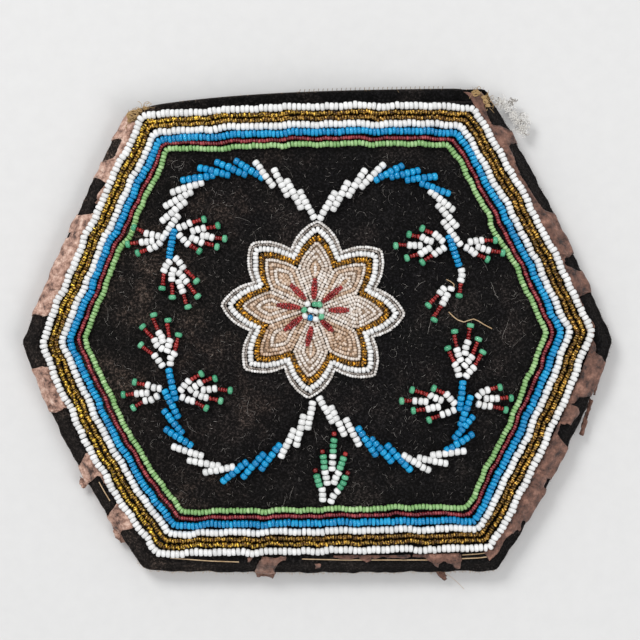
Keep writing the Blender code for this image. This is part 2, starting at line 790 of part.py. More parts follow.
def sides_at(corners, y):
    """The outline's left and right x at a height, between its corners."""
    def across(low, middle, high):
        start, end = (middle, high) if (y - middle[1]) * (high[1] - middle[1]) > 0 else (low, middle)
        share = (y - start[1]) / (end[1] - start[1])
        return start[0] + (end[0] - start[0]) * share

    left = across(corners[3], corners[2], corners[1])
    right = across(corners[4], corners[5], corners[0])
    return left, right


def from_picture(spot):
    """A pixel of the picture as a place on the bag, between its own sides."""
    left_px, right_px = sides_at(OUTLINE_PX, spot[1])
    y = (BAG_CENTRE_PX[1] - spot[1]) * BAG_HEIGHT / BAG_HEIGHT_PX
    left, right = sides_at(OUTLINE, y)
    middle_px = (left_px + right_px) / 2
    share = (spot[0] - middle_px) / (right_px - left_px) * FRONT_IS_NEARER
    return ((left + right) / 2 + (right - left) * share, y)


def flower_point(radius, angle):
    cx, cy = from_picture(FLOWER_CENTRE_PX)
    return (cx + radius * math.cos(angle), cy + radius * math.sin(angle))


def petal_arc():
    """Centre and radius of the arc along one petal's side, tip on +X."""
    half = math.pi / PETALS
    valley = (FLOWER_VALLEY * math.cos(half), FLOWER_VALLEY * math.sin(half))
    tip = (FLOWER_TIP, 0.0)
    chord = distance(valley, tip)
    radius = chord ** 2 / (8 * PETAL_BULGE) + PETAL_BULGE / 2
    along = direction(valley, tip)
    middle = line_point(valley, tip, 0.5)
    depth = radius - PETAL_BULGE
    centre = (middle[0] + along[1] * depth, middle[1] - along[0] * depth)
    return centre, radius, valley


def flower_ring_points(inset):
    """A row round the flower, this far in from the flower's outer edge."""
    centre, radius, valley = petal_arc()
    small = radius - inset
    tip_angle = math.asin(-centre[1] / small)
    valley_angle = math.atan2(valley[1] - centre[1], valley[0] - centre[0])
    arc = []
    for share in (0.0, 0.5, 1.0):
        angle = tip_angle + (valley_angle - tip_angle) * share
        arc.append((centre[0] + small * math.cos(angle), centre[1] + small * math.sin(angle)))
    half = math.pi / PETALS
    notch = ((FLOWER_VALLEY - inset) * math.cos(half), (FLOWER_VALLEY - inset) * math.sin(half))
    turn = math.radians(FLOWER_TURN_DEG)
    points = []
    for petal in range(PETALS):
        axis = turn + 2 * math.pi * petal / PETALS
        mirrored = [(x, -y) for x, y in arc[:0:-1]]
        for x, y in mirrored + arc + [notch]:
            points.append(flower_point(math.hypot(x, y), axis + math.atan2(y, x)))
    return points


def make_flower_rings():
    """The flower's outline rows, each inside the one before."""
    inset = FLOWER_CLEAR / 2
    rows = (
        ("flower_clear_edge", FLOWER_CLEAR, "clear"),
        ("flower_white_ring", FLOWER_WHITE, "white"),
        ("flower_gold_ring", FLOWER_GOLD, "gold"),
    )
    last = FLOWER_CLEAR
    for name, bead, colour in rows:
        if name != rows[0][0]:
            inset += (last + bead) / 2 + BEAD_GAP
        points = flower_ring_points(inset)
        widths = [bead] * len(points)
        sections = string_sections(points, widths, True)
        for section, point in zip(sections, points):
            base = top_of_velvet(*point) + BEAD_GAP
            section[2] = (section[2][0], section[2][1], base + min(bead, FLOWER_WHITE))
            section[3] = (section[3][0], section[3][1], base + min(bead, FLOWER_WHITE))
        make_object(name, *loft(sections, True), colour)
        last = bead
    return inset + last / 2


def star_points(tip, notch):
    """Sixteen points: petal tips and the valleys between them."""
    turn = math.radians(FLOWER_TURN_DEG)
    points = []
    for step in range(2 * PETALS):
        radius = notch if step % 2 else tip
        points.append(flower_point(radius, turn + math.pi * step / PETALS))
    return points


def star_ring(tip, notch):
    """The star's outline, with as many points as a row round the flower."""
    corners = star_points(tip, notch)
    points = []
    for petal in range(PETALS):
        before = corners[2 * petal - 1]
        middle = corners[2 * petal]
        after = corners[2 * petal + 1]
        points += [line_point(before, middle, share) for share in (0.12, 0.5)]
        points += [line_point(middle, after, share) for share in (0.0, 0.5, 0.88, 1.0)]
    return points


def make_petals(inset):
    """Nested rows of clear beads between the gold ring and the red rays."""
    outer = flower_ring_points(inset + BEAD_GAP)
    inner = star_ring(RAY_TIP + BEAD_GAP * 3, RAY_NOTCH + BEAD_GAP * 2)
    steps = 2 * PETAL_RIDGES
    loops = [[(*point, 0.0) for point in outer]]
    for step in range(steps + 1):
        height = FLOWER_BEIGE if step % 2 else FLOWER_BEIGE * 0.6
        loops.append([(*line_point(a, b, step / steps), height) for a, b in zip(outer, inner)])
    loops.append([(*point, 0.0) for point in inner])
    vertices = []
    for loop in loops:
        vertices += [(x, y, top_of_velvet(x, y) + BEAD_GAP + height) for x, y, height in loop]
    size = len(outer)
    faces = []
    for row in range(len(loops)):
        near = row * size
        far = ((row + 1) % len(loops)) * size
        for column in range(size):
            after = (column + 1) % size
            faces.append((near + column, near + after, far + after, far + column))
    make_object("flower_petals", vertices, faces, "clear")


def make_flower_middle():
    """The red rays on the velvet and the bead cluster sewn over them."""
    flat = star_points(RAY_TIP, RAY_NOTCH)
    cx, cy = from_picture(FLOWER_CENTRE_PX)
    base = top_of_velvet(cx, cy) + BEAD_GAP
    low = [(x, y, top_of_velvet(x, y) + BEAD_GAP) for x, y in flat] + [(cx, cy, base)]
    high = [(x, y, z + FLOWER_RED) for x, y, z in low]
    size = len(flat)
    faces = []
    for index in range(size):
        after = (index + 1) % size
        faces.append((index, after, size))
        faces.append((index + size + 1, after + size + 1, 2 * size + 1))
        faces.append((index, after, after + size + 1, index + size + 1))
    make_object("flower_red_rays", low + high, faces, "red")
    top = base + FLOWER_RED + BEAD_GAP
    vertices = []
    for radius, lift in ((0.85, 0.0), (1.0, 0.45), (0.7, 1.0)):
        for step in range(PETALS):
            angle = 2 * math.pi * step / PETALS
            x, y = flower_point(CENTRE_RADIUS * radius, angle)
            vertices.append((x, y, top + FLOWER_CENTRE * lift))
    sections = [vertices[i * PETALS:(i + 1) * PETALS] for i in range(3)]
    make_object("flower_centre", *loft(sections, False), "white")


PLACED = []


def gap_to(strings, point):
    """The least free distance from a point to any of these laid strings."""
    least = 1.0
    for a, b, radius in strings:
        along = (b[0] - a[0], b[1] - a[1])
        length = along[0] ** 2 + along[1] ** 2
        share = ((point[0] - a[0]) * along[0] + (point[1] - a[1]) * along[1]) / length
        nearest = line_point(a, b, min(max(share, 0.0), 1.0))
        least = min(least, distance(point, nearest) - radius)
    return least


def longest_run(free):
    """The first and last index of the longest run of true values."""
    runs = [(0, 0)]
    for step, clear in enumerate(free):
        if clear:
            started = runs[-1][0] if step and free[step - 1] else step
            runs.append((started, step))
    return max(runs, key=lambda run: run[1] - run[0])


def clear_stretch(a, b, radius, neighbours):
    """The part of a string from a to b that stays clear of what lies there.

    Where the strings lie too close for the full gap, a smaller one is kept.
    """
    steps = 60
    spots = [line_point(a, b, step / steps) for step in range(steps + 1)]
    others = [gap_to(PLACED, spot) - radius for spot in spots]
    near = [gap_to(neighbours, spot) - radius for spot in spots]
    for part in (1.0, 0.5, 0.2, 0.0, -1.0, -3.0):
        free = [x >= BEAD_GAP * part and y >= STRING_GAP * part for x, y in zip(others, near)]
        first, last = longest_run(free)
        if distance(spots[first], spots[last]) > radius:
            break
    if first == last:
        return a, b
    return spots[first], spots[last]


def fit_widths(points, widths, neighbours):
    """Narrow a string where what lies beside it leaves less room."""
    fitted = []
    for index, width in enumerate(widths):
        room = width / 2
        around = []
        if index:
            around.append(points[index - 1])
        if index < len(points) - 1:
            around.append(points[index + 1])
        for other in around:
            for share in (0.0, 0.15, 0.3, 0.45, 0.6):
                spot = line_point(points[index], other, share)
                room = min(room, gap_to(PLACED, spot) - BEAD_GAP, gap_to(neighbours, spot) - STRING_GAP)
        fitted.append(max(2 * room, SEWING_THREAD * 1.2))
    return fitted


def union(name, solids, colour):
    """One closed body from overlapping bars."""
    first = make_object(name, *solids[0], colour)
    for index, solid in enumerate(solids[1:]):
        other = make_object(name + "_part_" + str(index), *solid, colour)
        join = first.modifiers.new("join", "BOOLEAN")
        join.operation = "UNION"
        join.solver = "EXACT"
        join.object = other
        graph = bpy.context.evaluated_depsgraph_get()
        joined = bpy.data.meshes.new_from_object(first.evaluated_get(graph))
        first.modifiers.clear()
        first.data = joined
        bpy.data.objects.remove(other)
    return first


def lane(a, b, neighbours, raised):
    """One slanted string of beads, a little narrower at its ends."""
    points = [a, line_point(a, b, 0.5), b]
    widths = [VINE_STRING * 0.92, VINE_STRING, VINE_STRING * 0.92]
    widths = fit_widths(points, widths, neighbours)
    return loft(string_sections(points, widths, False, raised), False)


def make_vines():
    """Each vine's colour groups, whose strings lie side by side."""
    colours = {"white": "white", "blue": "blue", "stem": "blue"}
    for name, lanes in VINES_PX.items():
        colour = colours[name.rsplit("_", 1)[1]]
        solids = []
        laid = []
        for index, spots in enumerate(lanes):
            a, b = (from_picture(spot) for spot in spots)
            along = direction(a, b)
            a = (a[0] - along[0] * VINE_BEAD * 0.3, a[1] - along[1] * VINE_BEAD * 0.3)
            b = (b[0] + along[0] * VINE_BEAD * 0.3, b[1] + along[1] * VINE_BEAD * 0.3)
            a, b = clear_stretch(a, b, VINE_STRING * 0.4, laid)
            solids.append(lane(a, b, laid, THREAD_STEP * index))
            if laid:
                solids.append(tie(laid[-1], (a, b), THREAD_STEP * (index + 0.4)))
            laid.append((a, b, VINE_STRING / 2))
        union(name, solids, colour)
        PLACED.extend(laid)


def tie(near, far, raised):
    """The sewing thread that passes from one string to the next."""
    a = line_point(near[0], near[1], 0.5)
    b = line_point(far[0], far[1], 0.5)
    widths = [SEWING_THREAD, SEWING_THREAD * 1.1]
    return loft(string_sections([a, b], widths, False, raised), False)


def finger(spots, neighbours, raised):
    """One finger of a spray: first colour, second colour and tip."""
    base, knee, tip = spots
    points = [base, knee, line_point(knee, tip, 0.80), tip]
    widths = [SPRAY_WHITE, SPRAY_WHITE, SPRAY_RED, SPRAY_GREEN]
    widths = fit_widths(points, widths, neighbours)
    return loft(string_sections(points, widths, False, raised), False)


def make_sprays():
    """Each spray's fingers, with the sewing thread from one to the next."""
    for name, fingers in SPRAYS_PX.items():
        solids = []
        laid = []
        for spots in fingers:
            base, knee, tip = (from_picture(spot) for spot in spots)
            base, knee = clear_stretch(base, knee, SPRAY_WHITE * 0.3, laid)
            tip = clear_stretch(knee, tip, SPRAY_RED * 0.4, laid)[1]
            raised = THREAD_STEP * len(solids)
            solids.append(finger((base, knee, tip), laid, raised))
            if laid:
                solids.append(tie(laid[-2], (base, knee), raised + THREAD_STEP / 2))
            laid += [(base, knee, SPRAY_WHITE / 2), (knee, tip, SPRAY_RED / 2)]
        union(name, solids, "white")
        PLACED.extend(laid)


def ribbon_section(point, inward, face_width):
    """The ribbon's fold at one place: over the edge, front and back."""
    def at(reach):
        return (point[0] + inward[0] * reach, point[1] + inward[1] * reach)

    def top(reach):
        return levels(at(max(reach, 0.0)))["front_velvet"][1]

    def bottom(reach):
        return levels(at(max(reach, 0.0)))["back_velvet"][0]

    over = RIBBON_GAP + RIBBON
    return [(*at(reach), height) for reach, height in (
        (face_width, top(face_width) + over),
        (0.0, top(0) + over),
        (-over, top(0) - RIBBON_GAP),
        (-over, bottom(0) + RIBBON_GAP),
        (0.0, bottom(0) - over),
        (RIBBON_BACK, bottom(RIBBON_BACK) - over),
        (RIBBON_BACK, bottom(RIBBON_BACK) - RIBBON_GAP),
        (-RIBBON_GAP, bottom(0) - RIBBON_GAP),
        (-RIBBON_GAP, top(0) + RIBBON_GAP),
        (face_width, top(face_width) + RIBBON_GAP),
    )]


def make_ribbons():
    """The worn ribbon along each closed side, between the corners."""
    names = ("ribbon_upper_left", "ribbon_lower_left", "ribbon_base", "ribbon_lower_right", "ribbon_upper_right")
    for side, name in zip(BOUND_SIDES, names):
        start = VELVET_CORNERS[side]
        end = VELVET_CORNERS[(side + 1) % 6]
        along = direction(start, end)
        inward = (-along[1], along[0])
        length = distance(start, end)
        margin = RIBBON_FACE + RIBBON_END_GAP
        sections = []
        for share, left in RIBBON_WEAR[name]:
            reach = margin + (length - 2 * margin) * share
            out = bow(side, reach / length)
            spot = (start[0] + along[0] * reach - inward[0] * out, start[1] + along[1] * reach - inward[1] * out)
            face_width = RIBBON_WORN_FACE + (RIBBON_FACE - RIBBON_WORN_FACE) * left
            sections.append(ribbon_section(spot, inward, face_width))
        make_object(name, *loft(sections, False), "silk")


def make_knot(name, corner, offset):
    """A small lump of sewing thread, set on the velvet near a corner."""
    x = corner[0] + offset[0]
    y = corner[1] + offset[1]
    around = ((1, 0), (-1, 0), (0, 1), (0, -1), (0, 0))
    base = BEAD_GAP + max(top_of_velvet(x + KNOT_RADIUS * a, y + KNOT_RADIUS * b) for a, b in around)
    sections = []
    for lift, wide in ((0.0, 0.5), (0.35, 1.0), (0.75, 0.85), (1.0, 0.35)):
        loop = []
        for step in range(6):
            angle = 2 * math.pi * step / 6
            radius = KNOT_RADIUS * wide
            loop.append((x + radius * math.cos(angle), y + radius * math.sin(angle), base + KNOT_RADIUS * 1.3 * lift))
        sections.append(loop)
    make_object(name, *loft(sections, False), "thread")


def make_tuft():
    """The frayed tuft that hangs out beside the mouth's right corner."""
    corner = VELVET_CORNERS[0]
    points = [(corner[0] + x, corner[1] + y) for x, y in TUFT_OFFSETS]
    edge = levels(corner)
    middle = (edge["back_velvet"][0] + edge["front_velvet"][1]) / 2
    across = direction(points[0], points[-1])
    sections = []
    for (x, y), radius in zip(points, TUFT_RADII):
        loop = []
        for step in range(6):
            angle = 2 * math.pi * step / 6
            side = radius * math.cos(angle)
            loop.append((x - across[1] * side, y + across[0] * side, middle + radius * math.sin(angle)))
        sections.append(loop)
    make_object("thread_tuft", *loft(sections, False), "thread")


def make_threads():
    """Knots, the frayed tuft beside the mouth and the loose end."""
    make_tuft()
    make_knot("mouth_knot_left", VELVET_CORNERS[1], KNOT_LEFT_OFFSET)
    make_knot("mouth_knot_right", VELVET_CORNERS[0], KNOT_RIGHT_OFFSET)
    points = [from_picture(spot) for spot in LOOSE_THREAD_PX]
    widths = [SEWING_THREAD] * len(points)
    make_object("loose_thread", *loft(string_sections(points, widths, False), False), "thread")


def main():
    for thing in list(bpy.data.objects):
        bpy.data.objects.remove(thing)
    make_panels()
    make_border()
    edge = make_flower_rings()
    make_petals(edge)
    make_flower_middle()
    for name, bead, _, inset in border_rows():
        if name == "border_green":
            points = border_row_points(inset)
            for a, b in zip(points, points[1:] + points[:1]):
                PLACED.append((a, b, bead / 2))
    clear_ring = flower_ring_points(FLOWER_CLEAR / 2)
    for a, b in zip(clear_ring, clear_ring[1:] + clear_ring[:1]):
        PLACED.append((a, b, FLOWER_CLEAR / 2))
    make_vines()
    make_sprays()
    make_ribbons()
    make_threads()


main()
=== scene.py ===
"""The beaded bag, dressed for its picture.

Metres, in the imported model's frame: +Z up out of the beaded front, +Y to
the open mouth. The bag's shape comes from the same named sizes as its CAD
source. Every bead is a separate bead here, strung along its own thread.
"""
import math

import bpy
import numpy as np
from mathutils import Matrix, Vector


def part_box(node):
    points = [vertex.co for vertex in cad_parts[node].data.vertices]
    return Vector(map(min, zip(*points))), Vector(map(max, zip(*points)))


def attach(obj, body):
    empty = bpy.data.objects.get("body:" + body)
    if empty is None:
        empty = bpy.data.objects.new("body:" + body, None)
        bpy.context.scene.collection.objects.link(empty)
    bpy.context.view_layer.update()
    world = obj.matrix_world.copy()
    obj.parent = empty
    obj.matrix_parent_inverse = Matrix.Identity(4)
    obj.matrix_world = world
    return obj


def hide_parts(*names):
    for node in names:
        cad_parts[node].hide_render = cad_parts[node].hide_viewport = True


# The bag's shape, as its CAD source has it.
BAG_WIDTH = 0.1728
BAG_HEIGHT = 0.1408
MOUTH_WIDTH = 0.1051
MOUTH_SHIFT = -0.00325
BASE_WIDTH = 0.1026
BASE_SHIFT = 0.0011
SIDE_CORNER_HEIGHT = 0.0668
LEFT_MOUTH_DROP = 0.0066
BOWS = (0.0, 0.0008, 0.0028, 0.0006, 0.0021, 0.0015)
BACK_RIM_ARCH = 0.0024
FRONT_RIM_DROP_LEFT = 0.0008
FRONT_RIM_DROP_RIGHT = 0.0040
EDGE_INSET = 0.00075
RIBBON_GAP = 0.0003
VELVET = 0.00085
CARD = 0.00085
LINING = 0.00045
LAYER_GAP = 0.00028
SEAM_GAP = 0.0005
CARD_INSET = 0.0033
POCKET_HEIGHT = 0.0075
DOME_REACH = 0.055
EDGE_LIFT = 0.0020
LIFT_REACH = 0.010
HEM_LENGTH = 0.0060
BOUND_SIDES = (1, 2, 3, 4, 5)
BORDER_CORNER_INSETS = (
    (-0.0041, -0.0056),
    (0.0052, -0.0014),
    (0.0067, 0.0005),
    (0.0038, 0.0060),
    (-0.0026, 0.0078),
    (-0.0072, 0.0036),
)

# The picture: where its camera stands and how it turns places into pixels.
CAMERA = (0.00073, 0.0029, 0.708)
CAMERA_LENS_MM = 135.8
CAMERA_SENSOR_MM = 36.0
IMAGE_PX = 640
FOCAL_PX = IMAGE_PX * CAMERA_LENS_MM / CAMERA_SENSOR_MM

# How far beads lie over the velvet, and the cloth's own small sizes.
BEAD_LIFT = 0.00012
CLOTH = 0.0003
PANEL_STEP = 0.0010
LINING_STEP = 0.0016
LINING_INSET = 0.0016
CORNER_ROUND = 0.0012
FINE_STEP = 0.0002
RIBBON_STEP = 0.0004
RIBBON_COLUMNS = 11
ROLL_OUT = 0.00042
ROLL_HALF_HEIGHT = 0.00090
HEM_EXTRA = 0.00045
MOUTH_FACING = 0.0025
SILK = 0.00016
SILK_LIFT = 0.00022
SILK_BACK = 0.0040
WALL_ARC = 0.0045
WALL_OUT = 0.00062

# Each border row: name, bead width, bead pitch, whether its beads are fine, material.
BORDER_ROWS = (
    ("border_white_outer", 0.00222, 0.00136, False, "white"),
    ("border_gold_outer", 0.00148, 0.00072, True, "gold"),
    ("border_gold_inner", 0.00148, 0.00072, True, "dark_gold"),
    ("border_white_inner", 0.00222, 0.00134, False, "white"),
    ("border_blue", 0.00215, 0.00112, False, "blue"),
    ("border_red", 0.00120, 0.00074, True, "red"),
    ("border_green", 0.00172, 0.00102, False, "green"),
)
ROW_INSETS = (0.0, 0.00195, 0.0036, 0.0056, 0.00795, 0.0100, 0.0118)

# Each side's rows: moved outward, bowed outward in the middle, and spaced.
BORDER_MOVES = (0.0, -0.00015, 0.0003, 0.00035, 0.0005, -0.0003)
BORDER_BOWS = (0.00085, 0.00085, 0.0025, 0.0, 0.0013, 0.0013)
BORDER_SPREADS = (0.92, 0.94, 1.04, 1.02, 1.01, 1.0)

# Where single rows swerve: place in pixels, how far outward, and over what length.
ROW_SWERVES = {
    "border_green": (
        (131, 236, -0.0007, 0.0035), (494, 232, -0.0009, 0.0040), (525, 382, -0.0006, 0.0035),
        (421, 503, -0.0007, 0.0016), (412, 505, -0.0004, 0.0012), (82, 343, 0.0009, 0.0065),
        (108, 262, 0.0006, 0.0090), (176, 150, 0.0008, 0.0060), (470, 504, 0.0009, 0.0055),
        (462, 165, 0.0006, 0.0080),
    ),
    "border_red": (
        (411, 510, -0.0006, 0.0011), (80, 343, 0.0009, 0.0065), (105, 262, 0.0006, 0.0090),
        (174, 147, 0.0008, 0.0060), (473, 510, 0.0008, 0.0055), (466, 162, 0.0006, 0.0080),
    ),
    "border_blue": (
        (74, 343, 0.0009, 0.0065), (100, 262, 0.0005, 0.0090), (478, 517, 0.0008, 0.0055),
        (470, 156, 0.0005, 0.0080),
    ),
    "border_white_inner": ((67, 343, 0.0006, 0.0065), (483, 525, 0.0006, 0.0055)),
    "border_gold_inner": ((60, 343, 0.0003, 0.0065),),
    "border_white_outer": (
        (418, 549, 0.0006, 0.0022), (467, 549, 0.0005, 0.0020), (140, 116, -0.0003, 0.0020),
    ),
}

# The flower: its rows from the edge inward, each a zigzag from petal tip to
# valley. Name, tip radius, valley radius, bulge, bead width, pitch, fine, material.
PETALS = 8
FLOWER_TURN = math.radians(-3.0)
FLOWER_CENTRE_PX = (313.0, 309.5)
FLOWER_ROWS = (
    ("flower_clear_edge", 0.0254, 0.0180, 0.0013, 0.00090, 0.00080, True, "bright_clear"),
    ("flower_clear_edge", 0.0245, 0.0171, 0.0012, 0.00070, 0.00080, True, "clear"),
    ("flower_white_ring", 0.0232, 0.0157, 0.0010, 0.00176, 0.00110, False, "white"),
    ("flower_gold_ring", 0.0210, 0.0139, 0.0008, 0.00165, 0.00078, True, "flower_gold"),
)
FLOWER_STRETCH = (1.035, 1.0)

# Each petal inside them: closed rows, one in the other, from its edge inward.
PETAL_TIP = 0.0203
PETAL_SHOULDER = 0.0131
PETAL_SWELL = 0.0006
PETAL_INSETS = (0.00052, 0.00151, 0.00250, 0.00349)
PETAL_MIDDLE = (0.0098, 0.0129)
PETAL_HALF_WIDTH = 0.0045
GROUND_LIFT = 0.0004
GROUND_THICKNESS = 0.00025
GOLD_RING_RISE = 0.0002
PETAL_BEAD = 0.00110
PETAL_PITCH = 0.00078

# Red rays: first and last bead of each, in the picture's pixels.
RAYS_PX = (
    ((313.8, 298.0), (315.0, 279.5)),
    ((323.3, 301.8), (341.2, 287.2)),
    ((329.7, 310.1), (348.2, 310.1)),
    ((322.0, 321.0), (332.2, 330.5)),
    ((311.2, 327.3), (307.4, 345.2)),
    ((301.6, 317.1), (285.1, 329.9)),
    ((299.1, 307.6), (278.0, 305.0)),
    ((304.8, 298.6), (291.4, 285.3)),
)
CENTRE_BEADS_PX = (
    ("white", 307.4, 303.8), ("spray_green", 315.0, 304.4), ("spray_green", 319.5, 304.4),
    ("spray_green", 304.2, 310.1), ("white", 310.6, 310.1), ("white", 315.7, 311.4),
    ("white", 321.7, 311.4), ("white", 305.2, 315.9), ("blue", 310.3, 317.8),
    ("white", 315.7, 319.1), ("spray_green", 321.4, 316.5),
)
CENTRE_LIFT = 0.0018
CENTRE_BEAD = 0.0019
CENTRE_BEAD_LENGTH = 0.0015
RAY_LIFT = 0.0012
RAY_HALF_WIDTH = 0.00048

# Vines: each lane is one slanted string of beads from its first bead to its
# last, in the picture's pixels.
LANE_BEADS = 6
STEM_BEADS = 8
VINE_BEAD = 0.00218
LANE_ARCH = 0.0005
VINES_PX = {
    "vine_upper_left_inner_white": (
        (313.4, 216.7, 300.2, 192.5), (301.0, 207.2, 287.0, 181.5),
        (287.0, 194.7, 274.6, 170.5), (272.4, 185.2, 256.2, 163.2),
    ),
    "vine_upper_left_blue": (
        (261.4, 177.1, 236.4, 161.7), (244.5, 174.2, 217.4, 162.5),
        (227.6, 174.9, 200.5, 167.9), (212.2, 175.7, 183.6, 180.1),
    ),
    "vine_upper_left_outer_white": (
        (201.2, 183.0, 173.3, 191.8), (190.3, 192.5, 166.0, 205.6),
        (184.4, 202.4, 162.8, 220.3), (177.2, 216.3, 163.6, 237.0),
    ),
    "vine_upper_left_stem": ((174.0, 231.0, 169.2, 256.5),),
    "vine_upper_right_inner_white": (
        (320.5, 217.5, 334.5, 193.5), (333.4, 208.6, 347.3, 183.5),
        (348.4, 195.2, 364.1, 171.2), (361.8, 186.3, 382.5, 165.6),
    ),
    "vine_upper_right_blue": (
        (376.3, 179.6, 401.1, 166.2), (392.0, 176.8, 417.6, 170.6),
        (407.6, 179.6, 434.9, 176.8), (422.1, 183.5, 447.8, 193.5),
    ),
    "vine_upper_right_outer_white": (
        (431.0, 191.9, 452.2, 209.2), (438.8, 205.8, 455.7, 225.8),
        (444.0, 222.5, 459.6, 243.7),
    ),
    "vine_upper_right_stem": ((449.4, 237.0, 458.6, 264.5),),
    "vine_lower_left_inner_white": (
        (312.7, 403.1, 307.9, 427.5), (303.5, 416.7, 296.5, 444.3),
        (293.8, 430.8, 281.3, 455.7),
    ),
    "vine_lower_left_blue": (
        (279.1, 445.4, 261.8, 468.2), (263.4, 454.6, 243.9, 475.8),
        (245.5, 462.8, 223.8, 480.6),
    ),
    "vine_lower_left_outer_white": (
        (232.5, 467.1, 205.4, 472.0), (217.9, 466.0, 189.7, 460.6),
        (201.1, 455.7, 174.0, 447.0),
    ),
    "vine_lower_left_stem": (
        (190.2, 444.9, 166.4, 429.7), (181.6, 432.4, 164.8, 411.8),
        (177.6, 416.1, 165.6, 392.0), (175.0, 398.0, 169.0, 371.0),
    ),
    "vine_lower_right_inner_white": (
        (319.7, 398.5, 332.1, 421.0), (331.5, 408.0, 343.9, 433.9),
        (346.3, 420.4, 358.7, 444.0),
    ),
    "vine_lower_right_blue": (
        (358.7, 429.2, 375.2, 454.0), (372.2, 439.8, 391.1, 460.5),
        (388.2, 446.3, 409.4, 469.3),
    ),
    "vine_lower_right_outer_white": (
        (404.1, 455.8, 427.7, 469.9), (419.4, 458.1, 445.4, 463.4),
        (433.0, 455.2, 463.1, 451.0),
    ),
    "vine_lower_right_stem": (
        (447.2, 449.9, 471.4, 435.1), (455.4, 437.5, 471.9, 417.4),
        (461.3, 423.9, 470.2, 397.8), (459.8, 408.4, 462.8, 382.6),
    ),
}

